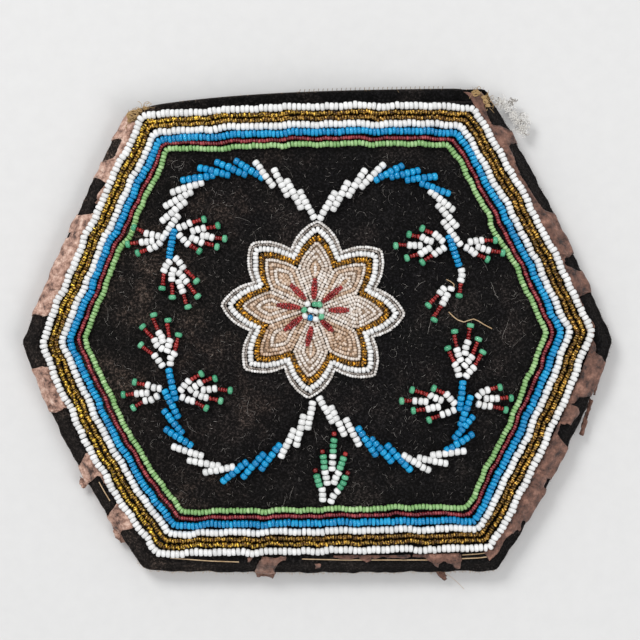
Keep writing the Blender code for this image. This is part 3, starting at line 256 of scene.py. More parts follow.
# Sprays: for each finger its white beads, then where its red beads end and
# its green bead, in the picture's pixels.
SPRAY_WHITE = 0.00220
SPRAY_RED = 0.00126
SPRAY_GREEN = 0.00222
SPRAY_WHITE_LENGTH = 0.00148
BASE_GREEN = 0.0021
GREEN_LENGTH = 0.0014
RED_PITCH = 0.00082
RED_START = 0.00125
SPRAYS_PX = {
    "spray_upper_left_outer": (
        ((163.0, 237.6), (158.0, 236.0), (152.3, 234.6), (146.5, 233.5), (137.7, 229.1), (134.3, 227.6)),
        ((152.1, 241.0), (146.8, 241.8), (141.7, 242.2), (131.3, 243.3), (128.2, 244.2)),
        ((159.7, 243.0), (155.3, 246.6), (150.1, 248.6), (141.3, 251.8), (138.1, 253.0)),
    ),
    "spray_upper_left_inner": (
        ((179.2, 227.5), (184.4, 225.9), (189.6, 223.1), (199.9, 220.1), (203.7, 219.5)),
        ((192.8, 231.1), (197.9, 229.5), (203.5, 228.3), (214.7, 227.1), (217.6, 225.7)),
        ((202.7, 235.9), (207.1, 235.9), (211.9, 237.4), (221.5, 238.6), (224.4, 238.6)),
        ((192.0, 237.8), (196.3, 239.8), (201.5, 242.6), (212.7, 245.0), (216.7, 246.8)),
        ((179.6, 235.5), (183.6, 239.8), (187.6, 243.8), (197.1, 249.4), (199.1, 251.0)),
    ),
    "spray_upper_left_tip": (
        ((169.2, 261.8), (166.0, 265.8), (164.0, 270.5), (162.8, 284.1), (162.2, 287.9)),
        ((173.4, 269.7), (171.8, 274.5), (171.8, 279.3), (172.4, 293.7), (172.4, 297.0)),
        ((178.8, 281.7), (180.6, 286.5), (182.6, 291.3), (186.0, 303.2), (188.0, 306.6)),
        ((179.2, 272.9), (182.8, 276.9), (186.4, 281.3), (194.7, 292.9), (197.5, 296.1)),
        ((176.0, 258.6), (179.6, 262.6), (182.8, 267.4), (193.9, 277.7), (196.3, 280.9)),
    ),
    "spray_upper_right_inner": (
        ((442.3, 240.9), (438.8, 237.3), (435.2, 234.2), (425.8, 230.6), (422.5, 228.6)),
        ((431.2, 241.3), (426.7, 240.0), (422.5, 237.3), (412.4, 235.5), (409.3, 234.5)),
        ((420.0, 245.5), (414.6, 245.4), (409.7, 245.2), (399.5, 244.5), (396.1, 245.8)),
        ((429.4, 248.5), (424.9, 250.7), (420.9, 253.6), (411.1, 256.1), (407.1, 257.9)),
        ((443.7, 248.0), (439.2, 250.7), (434.7, 253.8), (425.4, 259.6), (422.5, 262.1)),
    ),
    "spray_upper_right_outer": (
        ((470.4, 241.8), (475.8, 240.9), (481.6, 240.4), (491.9, 240.4), (494.8, 240.4)),
        ((478.0, 246.7), (482.9, 248.5), (488.3, 250.3), (499.5, 252.1), (502.4, 252.9)),
        ((466.4, 247.6), (470.9, 250.3), (474.7, 253.6), (484.3, 257.4), (487.2, 259.2)),
    ),
    "spray_upper_right_tip": (
        ((461.5, 270.4), (462.0, 275.3), (460.9, 280.2), (460.0, 291.8), (459.1, 295.4)),
        ((443.7, 288.7), (440.1, 292.7), (430.7, 302.5), (428.5, 305.2)),
        ((447.2, 294.9), (445.0, 298.9), (442.8, 303.4), (434.3, 315.9), (434.3, 319.5)),
    ),
    "spray_lower_left_tip": (
        ((162.1, 365.3), (158.7, 360.6), (154.8, 355.8), (143.2, 347.2), (141.2, 345.1)),
        ((161.7, 348.5), (156.9, 345.1), (154.8, 340.3), (144.9, 329.5), (142.9, 327.0)),
        ((162.7, 341.2), (161.7, 336.9), (159.1, 333.0), (153.5, 319.2), (153.8, 315.2)),
        ((167.3, 350.7), (168.6, 345.5), (169.9, 340.7), (167.3, 324.8), (168.1, 320.5)),
        ((170.3, 363.6), (170.7, 358.0), (174.2, 353.7), (177.6, 339.0), (178.5, 335.1)),
    ),
    "spray_lower_left_outer": (
        ((159.5, 388.5), (153.9, 387.7), (147.9, 385.1), (138.0, 383.4), (135.0, 382.1)),
        ((147.0, 392.9), (141.9, 393.3), (136.7, 393.7), (126.8, 394.6), (123.8, 394.6)),
        ((156.9, 396.3), (151.3, 399.7), (145.3, 400.6), (136.7, 405.3), (133.7, 407.5)),
    ),
    "spray_lower_left_inner": (
        ((181.1, 389.8), (184.5, 385.5), (188.4, 381.2), (198.3, 375.6), (201.1, 373.9)),
        ((190.5, 389.8), (195.3, 386.4), (200.0, 383.0), (210.3, 378.6), (214.8, 378.6)),
        ((203.5, 389.8), (209.1, 389.4), (214.7, 388.6), (226.3, 390.3), (229.9, 390.3)),
        ((196.1, 393.7), (201.3, 396.3), (206.0, 397.6), (216.8, 399.7), (220.4, 400.8)),
        ((182.4, 397.2), (188.0, 399.7), (192.7, 401.0), (203.5, 406.6), (206.0, 407.9)),
    ),
    "spray_lower_right_tip": (
        ((458.8, 375.0), (457.6, 369.4), (455.2, 364.6), (449.6, 352.3), (447.8, 348.4)),
        ((460.4, 359.8), (458.4, 354.7), (457.0, 349.9), (454.4, 335.9), (454.6, 331.7)),
        ((465.2, 353.1), (465.8, 347.5), (467.7, 342.3), (469.6, 329.1), (470.4, 325.8)),
        ((464.8, 365.4), (468.4, 361.0), (471.6, 357.0), (477.1, 343.1), (478.3, 339.5)),
        ((466.4, 375.8), (469.6, 371.4), (473.5, 367.8), (480.7, 355.1), (482.5, 352.3)),
    ),
    "spray_lower_right_inner": (
        ((454.0, 402.9), (450.4, 398.9), (446.8, 394.5), (437.3, 390.1), (434.1, 388.5)),
        ((440.9, 400.1), (435.7, 398.1), (430.9, 395.7), (416.1, 390.9), (412.4, 390.1)),
        ((425.7, 401.7), (420.9, 401.3), (414.9, 400.9), (405.4, 400.5), (402.0, 400.9)),
        ((438.1, 406.9), (432.9, 407.7), (428.1, 408.9), (417.3, 410.1), (413.7, 410.6)),
        ((453.6, 410.1), (448.0, 412.5), (442.4, 414.5), (432.5, 418.1), (429.3, 419.9)),
    ),
    "spray_lower_right_outer": (
        ((478.3, 396.1), (482.3, 392.1), (487.5, 390.1), (496.7, 387.4), (499.6, 387.4)),
        ((486.3, 398.5), (491.9, 398.5), (497.1, 398.5), (506.6, 397.7), (510.8, 398.1)),
        ((478.7, 404.1), (484.3, 405.7), (489.9, 406.1), (502.3, 408.5), (505.4, 409.8)),
    ),
}

# The bottom spray: for each finger its white beads, green beads and red tip.
BASE_SPRAY_PX = (
    (((322.7, 499.4), (322.5, 494.7), (322.1, 489.4)), ((319.2, 484.7), (318.0, 480.5), (316.8, 476.4)),
     (315.4, 470.5)),
    (((327.2, 482.9), (326.2, 477.6), (325.1, 472.3)), ((324.2, 467.0), (323.9, 461.7), (323.3, 456.9)),
     (322.5, 451.6)),
    (((332.1, 468.7), (332.4, 462.8), (332.7, 456.3)), ((333.1, 451.0), (333.3, 445.7), (333.9, 440.4)),
     (334.1, 433.9)),
    (((334.3, 482.3), (335.9, 477.6), (338.4, 472.9)), ((340.2, 467.6), (341.8, 463.4), (343.3, 458.7)),
     (345.3, 454.0)),
    (((331.0, 501.2), (333.3, 495.9), (337.4, 491.2)), ((340.4, 487.0), (343.3, 482.9), (345.1, 477.6)),
     (347.7, 472.9)),
)
LONE_BEAD_PX = (451.1, 288.7)

# Worn silk. For each side from its first corner: share of the way along, how
# far in from the edge the silk is worn off, and how far in it reaches, in
# millimetres. Equal numbers mean that no silk is left there.
SILK_LEFT = {
    "ribbon_upper_left": (
        (0.00, 0.0, 5.0), (0.12, 0.0, 5.2), (0.14, 2.5, 5.2), (0.21, 2.7, 5.2), (0.222, 0.0, 5.2),
        (0.288, 0.0, 5.2), (0.302, 3.3, 5.1), (0.40, 3.1, 4.7), (0.412, 5.2, 5.2), (0.448, 5.2, 5.2),
        (0.456, 0.0, 5.1), (0.53, 0.0, 5.1), (0.54, 0.8, 5.0), (0.552, 0.0, 5.1), (0.885, 0.0, 5.1),
        (0.90, 5.0, 5.0), (1.0, 5.0, 5.0),
    ),
    "ribbon_lower_left": (
        (0.0, 5.0, 5.0), (0.10, 5.0, 5.0), (0.112, 0.0, 4.9), (0.29, 0.0, 5.0), (0.303, 5.0, 5.0),
        (0.508, 5.0, 5.0), (0.518, 0.0, 4.9), (0.60, 0.0, 4.9), (0.608, 4.1, 5.0), (0.73, 3.9, 5.0),
        (0.742, 0.0, 4.9), (0.83, 0.0, 4.9), (0.85, 4.2, 5.1), (0.94, 4.3, 5.1), (0.95, 5.0, 5.0),
        (1.0, 5.0, 5.0),
    ),
    "ribbon_base": (
        (0.0, 5.0, 5.0), (0.266, 5.0, 5.0), (0.270, 3.0, 4.2), (0.284, 3.1, 4.2), (0.288, 5.0, 5.0),
        (0.308, 5.0, 5.0), (0.313, 0.0, 4.3), (0.368, 0.0, 4.2), (0.374, 3.1, 4.5), (0.402, 3.5, 4.5),
        (0.406, 5.0, 5.0), (0.478, 5.0, 5.0), (0.482, 0.8, 2.5), (0.495, 1.0, 2.4), (0.499, 5.0, 5.0),
        (0.520, 5.0, 5.0), (0.540, 4.2, 4.9), (0.574, 3.6, 5.0), (0.590, 3.8, 5.0), (0.610, 4.2, 4.9),
        (0.634, 3.0, 5.0), (0.652, 3.2, 5.0), (0.657, 4.1, 4.9), (0.77, 4.2, 4.9), (0.80, 3.9, 5.0),
        (0.812, 2.8, 5.1), (0.835, 1.0, 5.1), (0.85, 3.0, 5.1), (0.87, 2.4, 5.1), (0.885, 0.5, 5.1),
        (0.90, 0.6, 5.1), (0.915, 3.4, 5.1), (0.935, 5.0, 5.0), (1.0, 5.0, 5.0),
    ),
    "ribbon_lower_right": (
        (0.0, 2.0, 5.3), (0.03, 2.5, 5.3), (0.12, 2.0, 5.3), (0.17, 1.2, 5.3), (0.185, 0.0, 5.3),
        (0.202, 1.5, 5.3), (0.218, 0.0, 5.3), (0.365, 0.0, 5.3), (0.377, 0.9, 5.3), (0.41, 1.0, 5.3),
        (0.42, 0.0, 5.3), (0.555, 0.0, 5.3), (0.567, 4.2, 5.3), (0.615, 4.7, 5.3), (0.635, 1.7, 5.3),
        (0.70, 1.0, 5.3), (0.735, 4.4, 5.3), (0.765, 2.5, 5.3), (0.78, 0.0, 5.3), (0.925, 0.0, 5.3),
        (0.940, 3.4, 5.3), (1.0, 4.4, 5.3),
    ),
    "ribbon_upper_right": (
        (0.0, 4.6, 5.3), (0.03, 4.2, 5.3), (0.08, 2.8, 5.3), (0.12, 4.0, 5.3), (0.17, 3.4, 5.3),
        (0.19, 0.0, 5.3), (0.275, 0.0, 5.3), (0.287, 3.6, 5.3), (0.328, 2.8, 5.3), (0.34, 0.0, 5.3),
        (0.50, 0.0, 5.3), (0.512, 2.2, 5.3), (0.60, 3.0, 5.3), (0.70, 3.2, 5.3), (0.775, 2.2, 5.3),
        (0.787, 0.0, 5.3), (0.84, 0.0, 5.3), (0.852, 3.4, 5.3), (0.93, 3.0, 5.3), (0.945, 1.0, 5.3),
        (1.0, 1.2, 5.3),
    ),
}

# Rags of silk that stand out past the edge, as outlines in pixels.
RAGS_PX = {
    "ribbon_lower_left": (
        ((112, 523), (119, 521), (126, 526), (129, 533), (126, 542), (121, 543), (115, 537)),
        ((80, 477), (87, 479), (88, 485), (84, 489), (79, 484)),
    ),
    "ribbon_base": (
        ((256, 564), (266, 562), (272, 567), (276, 573), (273, 578), (264, 576), (257, 577), (254, 570)),
        ((432, 562), (437, 564), (442, 572), (447, 579), (444, 581), (439, 576), (434, 570)),
        ((438, 565), (441, 566), (444, 572), (447, 576), (445, 577), (441, 573)),
    ),
    "ribbon_lower_right": (
        ((590, 398), (593, 401), (588, 416), (587, 424), (583, 436), (580, 435), (582, 423), (586, 411)),
        ((599, 370), (601, 371), (598, 384), (595, 396), (593, 395), (596, 383)),
    ),
}

# Sewing threads that show along the bottom, in pixels.
STITCH_LINES_PX = (
    ((170, 558), (190, 559.5), (210, 561), (239, 562)),
    ((302, 559), (345, 560), (390, 560), (429, 560)),
    ((440, 558), (455, 559), (478, 558), (494, 556)),
    ((462, 555), (478, 554), (492, 552)),
    ((99, 482), (104, 491), (110, 501)),
)
RIM_STITCHES_PX = (300, 446, 4.6)
RIM_STITCH = ((0, 0.0, 0.0003), (0, 0.0003, 0.0002), (0.0001, 0.0008, -0.0002))
HAIR_PX = ((437, 566), (447, 574), (456, 581), (464, 589))
LINT_COUNT = 1900
LONG_LINT_COUNT = 110
KNOTS_PX = {
    "mouth_knot_left": (
        (133, 115, 0.0019, 9), (139, 111, 0.0009, 4), (145, 108, 0.0007, 3), (130, 120, 0.0008, 4),
    ),
    "mouth_knot_right": (
        (476, 93, 0.0012, 8), (484, 97, 0.0008, 5), (486, 101, 0.0008, 5), (488, 105.5, 0.0007, 5),
    ),
}
TUFT_PX = (
    (500, 101), (504, 104), (511, 103), (508, 108), (514, 116),
    (518, 121), (523, 118), (520, 127), (526, 123), (523, 131),
)
BROWN_CLUMP = 2
LOOSE_THREAD_PX = (
    (448.6, 311.9), (453.0, 316.4), (457.5, 319.9), (463.8, 322.1), (469.0, 320.3),
    (473.6, 319.0), (479.0, 321.4), (484.3, 324.8), (491.9, 328.7),
)
BEAD_LOOP_PX = ((446.5, 279.5), (450.5, 281.5), (454.0, 284.5), (453.5, 287.5), (451.5, 289.5))

# Sizes of threads and scraps, and where the lint lies.
RAG_HEIGHT = 0.0028
RAG_THICKNESS = 0.00012
LINT_WIDTH = (-0.078, 0.078)
LINT_HEIGHT = (-0.068, 0.060)
LINT_TOP = 0.050
LINT_BORDER = 0.0165
FUZZ_RADIUS = 0.00004
STITCH_RADIUS = 0.00016
RIM_STITCH_RADIUS = 0.00009
KNOT_RADIUS = 0.00021
KNOT_END_RADIUS = 0.00006
KNOT_ENDS = 9
TUFT_FIBRES = 34
THREAD_RADIUS = 0.00017
LOOP_RADIUS = 0.00015
HAIR_RADIUS = 0.00005

# The stage.
FLOOR_SIDE = 3.0
FLOOR_STEPS = 13
FLOOR_Z = -0.0002
WORLD_LIGHT = 0.62
WORLD_TINT = (0.98, 0.985, 1.0, 1.0)


def unit(vector):
    return vector / np.linalg.norm(vector, axis=-1, keepdims=True)


def draws(name):
    """This piece's own random numbers, the same on each run."""
    return np.random.default_rng(sum(ord(letter) * (place + 1) for place, letter in enumerate(name)))


def smooth_step(share):
    share = np.clip(share, 0, 1)
    return share * share * (3 - 2 * share)


def outline_corners():
    """The corners over the ribbon, anticlockwise from the mouth's right end."""
    base = -BAG_HEIGHT / 2
    top = BAG_HEIGHT / 2 - BACK_RIM_ARCH * 0.1
    half = BAG_WIDTH / 2
    return np.array([
        (MOUTH_SHIFT + MOUTH_WIDTH / 2, top),
        (MOUTH_SHIFT - MOUTH_WIDTH / 2, top - LEFT_MOUTH_DROP),
        (-half, base + SIDE_CORNER_HEIGHT),
        (BASE_SHIFT - BASE_WIDTH / 2, base),
        (BASE_SHIFT + BASE_WIDTH / 2, base),
        (half, base + SIDE_CORNER_HEIGHT),
    ])


def inset_corners(corners, distances):
    """Corners of the polygon whose side i lies distances[i] further in."""
    along = unit(np.roll(corners, -1, axis=0) - corners)
    inward = np.stack([-along[:, 1], along[:, 0]], axis=1)
    starts = corners + inward * np.array(distances)[:, None]
    result = []
    for side in range(len(corners)):
        p, u = starts[side - 1], along[side - 1]
        q, v = starts[side], along[side]
        cross = u[0] * v[1] - u[1] * v[0]
        share = ((q[0] - p[0]) * v[1] - (q[1] - p[1]) * v[0]) / cross
        result.append(p + u * share)
    return np.array(result)


OUTLINE = outline_corners()
VELVET_CORNERS = inset_corners(OUTLINE, [RIBBON_GAP] + [EDGE_INSET] * 5)


def side_length(side):
    """Length of one side of the velvet, from corner to corner."""
    return np.linalg.norm(VELVET_CORNERS[(side + 1) % 6] - VELVET_CORNERS[side])


def side_distances(points):
    """How far in from each bound velvet edge the points lie."""
    rows = []
    for side in BOUND_SIDES:
        start = VELVET_CORNERS[side]
        length = side_length(side)
        along = (VELVET_CORNERS[(side + 1) % 6] - start) / length
        offset = points - start
        share = np.clip(offset @ along / length, 0, 1)
        inward = offset[:, 1] * along[0] - offset[:, 0] * along[1]
        rows.append(np.maximum(inward + BOWS[side] * 4 * share * (1 - share), 0))
    return np.array(rows)


def heights(points):
    """Heights of the back's underside, the pocket and the front's face."""
    points = np.atleast_2d(points)[:, :2]
    reach = side_distances(points)
    nearest = reach.min(axis=0)
    card_step = (CARD + LAYER_GAP) * smooth_step(nearest / CARD_INSET)
    lift = np.prod(smooth_step(reach / LIFT_REACH), axis=0)
    swell = np.prod(1 - (1 - np.minimum(reach / DOME_REACH, 1)) ** 2, axis=0)
    back = EDGE_LIFT * (1 - lift)
    floor = back + VELVET + LAYER_GAP + card_step + LINING
    top = floor + SEAM_GAP + POCKET_HEIGHT * swell
    front = top + LINING + LAYER_GAP + card_step + VELVET
    x, y = points[:, 0], points[:, 1]
    uneven = np.sin(x * 210 + 1.0) * np.sin(y * 170 + 0.4) + 0.6 * np.sin(x * 390 - y * 310)
    front += 0.00013 * uneven * smooth_step(nearest / 0.012)
    return back, floor, top, front


def front_height(points):
    """Height of the front velvet's face."""
    return heights(points)[3]


def from_picture(spots, lift=0.0):
    """Pixels of the picture as places this far over the front velvet."""
    spots = np.atleast_2d(np.array(spots, dtype=float))
    z = np.full(len(spots), 0.012)
    for _ in range(4):
        scale = (CAMERA[2] - z) / FOCAL_PX
        x = CAMERA[0] + (spots[:, 0] - IMAGE_PX / 2) * scale
        y = CAMERA[1] + (IMAGE_PX / 2 - spots[:, 1]) * scale
        z = front_height(np.stack([x, y], axis=1)) + lift
    return np.stack([x, y, z], axis=1)


def level_place(spots, z):
    """Pixels of the picture as places at one height."""
    spots = np.atleast_2d(np.array(spots, dtype=float))
    scale = (CAMERA[2] - z) / FOCAL_PX
    x = CAMERA[0] + (spots[:, 0] - IMAGE_PX / 2) * scale
    y = CAMERA[1] + (IMAGE_PX / 2 - spots[:, 1]) * scale
    return np.stack([x, y, np.zeros(len(x)) + z], axis=1)


def resample(points, step, closed):
    """A line of points with even spacing of about this step."""
    if closed:
        points = np.vstack([points, points[:1]])
    run = np.concatenate([[0], np.cumsum(np.linalg.norm(np.diff(points, axis=0), axis=1))])
    count = max(int(round(run[-1] / step)), 2)
    marks = np.linspace(0, run[-1], count + 1)
    if closed:
        marks = marks[:-1]
    return np.stack([np.interp(marks, run, points[:, axis]) for axis in range(points.shape[1])], axis=1)


def bowed(start, end, bow, count):
    """Points from start to end that bow to the right by this much."""
    shares = np.linspace(0, 1, count)[:, None]
    span = end - start
    out = np.array([span[1], -span[0]]) / np.linalg.norm(span)
    return start + span * shares + out * bow * 4 * shares * (1 - shares)


def ring_of_sides(corners, bows, count):
    """A closed line through corners, each side bowed outward by its own amount."""
    ends = np.roll(corners, -1, axis=0)
    return np.vstack([bowed(start, end, bow, count) for start, end, bow in zip(corners, ends, bows)])


def soften(points, width):
    """Round a closed line's corners with a moving mean this many points wide."""
    total = np.zeros_like(points)
    for shift in range(-width, width + 1):
        total += np.roll(points, shift, axis=0)
    return total / (2 * width + 1)


def link(name, mesh, surface):
    thing = bpy.data.objects.new(name, mesh)
    bpy.context.collection.objects.link(thing)
    for one in surface if isinstance(surface, (list, tuple)) else [surface]:
        mesh.materials.append(one)
    return thing


def make_piece(name, vertices, faces, surface, replaced=(), kinds=None):
    """A mesh piece that rides on the bag, in the given materials, and hides the CAD parts it replaces."""
    mesh = bpy.data.meshes.new(name)
    mesh.from_pydata(np.asarray(vertices).tolist(), [], np.asarray(faces).tolist())
    mesh.polygons.foreach_set("use_smooth", [True] * len(mesh.polygons))
    if kinds is not None:
        mesh.polygons.foreach_set("material_index", np.asarray(kinds, dtype=np.int32))
    mesh.update()
    thing = link(name, mesh, surface)
    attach(thing, "root")
    if replaced:
        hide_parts(*replaced)
    return thing


def make_joined(name, parts, surface, slot, replaces_slot=False, kinds=None):
    """One piece from parts; kinds gives each part's material, by its place in surface."""
    vertices, faces, first = [], [], 0
    for points, triangles in parts:
        vertices.append(points)
        faces.append(np.asarray(triangles) + first)
        first += len(points)
    if kinds is not None:
        kinds = np.repeat(kinds, [len(triangles) for _, triangles in parts])
    replaced = (slot,) if replaces_slot else ()
    return make_piece(name, np.vstack(vertices), np.vstack(faces), surface, replaced, kinds)


BEAD_PROFILE = ((-0.50, 0.52), (-0.36, 0.91), (0.0, 1.0), (0.36, 0.91), (0.50, 0.52))
FINE_PROFILE = ((-0.50, 0.50), (-0.34, 0.92), (0.0, 1.0), (0.34, 0.92), (0.50, 0.50))
HOLE_DEPTH = 0.30


def capped_faces(rings, segments):
    """Triangles of rings of points one after the other, then the two ends' middles."""
    faces = []
    steps = [(step, (step + 1) % segments) for step in range(segments)]
    for start in range(0, (rings - 1) * segments, segments):
        for step, after in steps:
            a, b = start + step, start + after
            faces += [(a, b, b + segments), (a, b + segments, a + segments)]
    first, last = rings * segments, rings * segments + 1
    end = (rings - 1) * segments
    for step, after in steps:
        faces += [(first, after, step), (last, end + step, end + after)]
    return faces


def beads(centres, axes, lengths, widths, fine=False):
    """Many beads, each a ring turned about its own piece of the thread."""
    profile = FINE_PROFILE if fine else BEAD_PROFILE
    segments = 7 if fine else 10
    count = len(centres)
    axes = unit(axes)
    side = unit(np.cross(np.array([0.0, 0.0, 1.0]), axes))
    rise = np.cross(axes, side)
    local = []
    for x, radius in profile:
        for step in range(segments):
            angle = 2 * math.pi * step / segments
            local.append((x, radius * math.cos(angle) / 2, radius * math.sin(angle) / 2))
    local += [(-HOLE_DEPTH, 0.0, 0.0), (HOLE_DEPTH, 0.0, 0.0)]
    local = np.array(local)
    lengths = np.broadcast_to(lengths, count)[:, None, None]
    widths = np.broadcast_to(widths, count)[:, None, None]
    points = centres[:, None, :] + local[None, :, 0:1] * lengths * axes[:, None, :]
    points = points + local[None, :, 1:2] * widths * side[:, None, :]
    points = points + local[None, :, 2:3] * widths * rise[:, None, :]
    faces = np.array(capped_faces(len(profile), segments))
    shifts = np.arange(count)[:, None, None] * len(local)
    return points.reshape(-1, 3), (faces[None] + shifts).reshape(-1, 3)


def tilt(axes, rng, amount):
    """Turn each bead a little off its thread."""
    return unit(axes + rng.normal(0, amount, axes.shape))


def string_of_beads(path, pitch, width, fine, rng, closed, lift=BEAD_LIFT, loose=1.0):
    """Beads along a flat path that lie on the front velvet."""
    spots = resample(path, pitch, closed)
    count = len(spots)
    if closed:
        along = np.roll(spots, -1, axis=0) - np.roll(spots, 1, axis=0)
    else:
        along = np.gradient(spots, axis=0)
    along = unit(along)
    across = np.stack([-along[:, 1], along[:, 0]], axis=1)
    spots = spots + across * rng.normal(0, 0.035 * width * loose, count)[:, None]
    spots = spots + along * rng.normal(0, 0.03 * pitch * loose, count)[:, None]
    widths = width * rng.normal(1.0, 0.035, count)
    z = front_height(spots) + lift + widths / 2
    centres = np.column_stack([spots, z])
    if closed:
        slope = np.roll(z, -1) - np.roll(z, 1)
    else:
        slope = np.gradient(z) * 2
    axes = np.column_stack([along * 2 * pitch, slope])
    lengths = pitch * rng.normal(1.0, 0.04, count)
    return beads(centres, tilt(unit(axes), rng, 0.07 * loose), lengths, widths, fine)


def line_of_beads(start, end, count, width, rng, arch=0.0):
    """Centres, axes and lengths of a short string's beads."""
    shares = np.linspace(0, 1, count)
    centres = start + (end - start) * shares[:, None]
    centres[:, 2] += arch * 4 * shares * (1 - shares)
    pitch = np.linalg.norm(end - start) / max(count - 1, 1)
    axes = np.gradient(centres, axis=0) if count > 1 else np.tile(end - start, (count, 1))
    centres = centres + rng.normal(0, 0.02 * width, centres.shape)
    return centres, tilt(unit(axes), rng, 0.06), pitch


def tube(points, radii, sides=6):
    """A closed tube along points, with its own radius at each."""
    points = np.asarray(points, dtype=float)
    radii = np.broadcast_to(radii, len(points))
    along = unit(np.gradient(points, axis=0) + 1e-12)
    guide = np.array([0.0, 0.0, 1.0]) if abs(along[:, 2]).mean() < 0.8 else np.array([1.0, 0.0, 0.0])
    side = unit(np.cross(guide, along))
    rise = np.cross(along, side)
    angles = 2 * math.pi * np.arange(sides) / sides
    rings = points[:, None] + radii[:, None, None] * (
        np.cos(angles)[None, :, None] * side[:, None] + np.sin(angles)[None, :, None] * rise[:, None])
    vertices = np.vstack([rings.reshape(-1, 3), points[:1], points[-1:]])
    return vertices, capped_faces(len(points), sides)


def slab(grid, thickness):
    """A thin closed sheet whose outer face is this grid of points."""
    down = np.gradient(grid, axis=0)
    over = np.gradient(grid, axis=1)
    normal = unit(np.cross(down, over) + 1e-15)
    rows, columns = grid.shape[:2]
    vertices = np.vstack([grid.reshape(-1, 3), (grid - normal * thickness).reshape(-1, 3)])
    size = rows * columns
    faces = []
    for i in range(rows - 1):
        for j in range(columns - 1):
            a, b = i * columns + j, (i + 1) * columns + j
            faces += [(a, b, b + 1), (a, b + 1, a + 1)]
            faces += [(a + size, b + 1 + size, b + size), (a + size, a + 1 + size, b + 1 + size)]
    edge = list(range(columns)) + [i * columns + columns - 1 for i in range(1, rows)]
    edge += [(rows - 1) * columns + j for j in range(columns - 2, -1, -1)]
    edge += [i * columns for i in range(rows - 2, 0, -1)]
    for a, b in zip(edge, edge[1:] + edge[:1]):
        faces += [(a, b, b + size), (a, b + size, a + size)]
    return vertices, faces


PATCH_SHARES = (0.05, 0.5, 1.0)


def inner_rings(edge):
    """A closed line, shrunk about its middle to each of the patch's shares."""
    middle = edge.mean(axis=0)
    return [middle + (edge - middle) * share for share in PATCH_SHARES]


def patch(rings, thickness):
    """A thin sheet through closed rings, from its middle to its edge."""
    return slab(np.stack([np.vstack([ring, ring[:1]]) for ring in rings], axis=0), thickness)


# Materials


def new_material(name, roughness, **sockets):
    material = bpy.data.materials.new(name)
    material.use_nodes = True
    surface = material.node_tree.nodes["Principled BSDF"]
    surface.inputs["Roughness"].default_value = roughness
    for socket, value in sockets.items():
        surface.inputs[socket.replace("_", " ")].default_value = value
    return material, surface


def add_node(material, kind, **settings):
    node = material.node_tree.nodes.new(kind)
    for name, value in settings.items():
        if name in node.inputs:
            node.inputs[name].default_value = value
        else:
            setattr(node, name, value)
    return node


def wire(material, source, target):
    material.node_tree.links.new(source, target)


def ramp(material, factor, stops):
    """A colour ramp of (place, colour) stops, driven by a factor."""
    node = add_node(material, "ShaderNodeValToRGB")
    band = node.color_ramp
    while len(band.elements) < len(stops):
        band.elements.new(0.5)
    for element, (place, colour) in zip(band.elements, stops):
        element.position = place
        element.color = (*colour, 1.0)
    wire(material, factor, node.inputs["Fac"])
    return node.outputs["Color"]


def noise(material, scale, detail=3.0, roughness=0.55, stretch=None):
    """Noise in the bag's own coordinates."""
    place = add_node(material, "ShaderNodeTexCoord").outputs["Object"]
    if stretch:
        mapping = add_node(material, "ShaderNodeMapping")
        mapping.inputs["Scale"].default_value = stretch
        wire(material, place, mapping.inputs["Vector"])
        place = mapping.outputs["Vector"]
    node = add_node(material, "ShaderNodeTexNoise", Scale=scale, Detail=detail, Roughness=roughness)
    wire(material, place, node.inputs["Vector"])
    return node.outputs["Fac"]


def bump(material, surface, height, strength, distance):
    node = add_node(material, "ShaderNodeBump", Strength=strength, Distance=distance)
    wire(material, height, node.inputs["Height"])
    wire(material, node.outputs["Normal"], surface.inputs["Normal"])


def mix_colour(material, factor, first, second, blend="MIX"):
    node = add_node(material, "ShaderNodeMix", data_type="RGBA", blend_type=blend)
    if isinstance(factor, float):
        node.inputs[0].default_value = factor
    else:
        wire(material, factor, node.inputs[0])
    wire(material, first, node.inputs[6])
    wire(material, second, node.inputs[7])
    return node.outputs[2]


def bead_material(name, stops, roughness=0.16, **sockets):
    """Glass beads, each with its own shade, and a slightly uneven skin."""
    material, surface = new_material(name, roughness, **sockets)
    own = add_node(material, "ShaderNodeNewGeometry").outputs["Random Per Island"]
    wire(material, ramp(material, own, stops), surface.inputs["Base Color"])
    bump(material, surface, noise(material, 1400, 2.0), 0.12, 0.0002)
    return material


def from_left(material, first, last):
    """0 at one x and 1 at another further right."""
    split = add_node(material, "ShaderNodeSeparateXYZ")
    wire(material, add_node(material, "ShaderNodeTexCoord").outputs["Object"], split.inputs[0])
    span = add_node(material, "ShaderNodeMapRange")
    wire(material, split.outputs["X"], span.inputs["Value"])
    span.inputs["From Min"].default_value = first
    span.inputs["From Max"].default_value = last
    return span.outputs["Result"]


def gold_material(name, left, right):
    """Amber beads with a bright lining: dark brown glass with painted glints speckled into the base colour,
    and painted highlights brighter towards the left, where the light falls.
    """
    material, surface = new_material(name, 0.22, Metallic=0.60, Coat_Weight=0.12)
    own = add_node(material, "ShaderNodeNewGeometry").outputs["Random Per Island"]
    left_glint, right_glint = (
        ramp(material, own, [(place, tuple(share * part for part in colour))
                             for place, share in ((0.0, 0.45), (0.6, 1.0), (1.0, 1.5))])
        for colour in (left, right))
    # Painted highlight: the glint colours are brighter on the left than on the right, because the light falls
    # from the upper left.
    glint = mix_colour(material, from_left(material, -0.05, 0.02), left_glint, right_glint)
    dark = ramp(material, own, ((0.0, (0.040, 0.018, 0.005)), (1.0, (0.17, 0.080, 0.016))))
    # Painted glints: fine noise speckles the bright glint colour into the dark glass's base colour.
    painted_glint_mask = ramp(material, noise(material, 1500, 1.0, 0.5), ((0.44, (0.0,) * 3), (0.60, (1.0,) * 3)))
    wire(material, mix_colour(material, painted_glint_mask, dark, glint), surface.inputs["Base Color"])
    return material


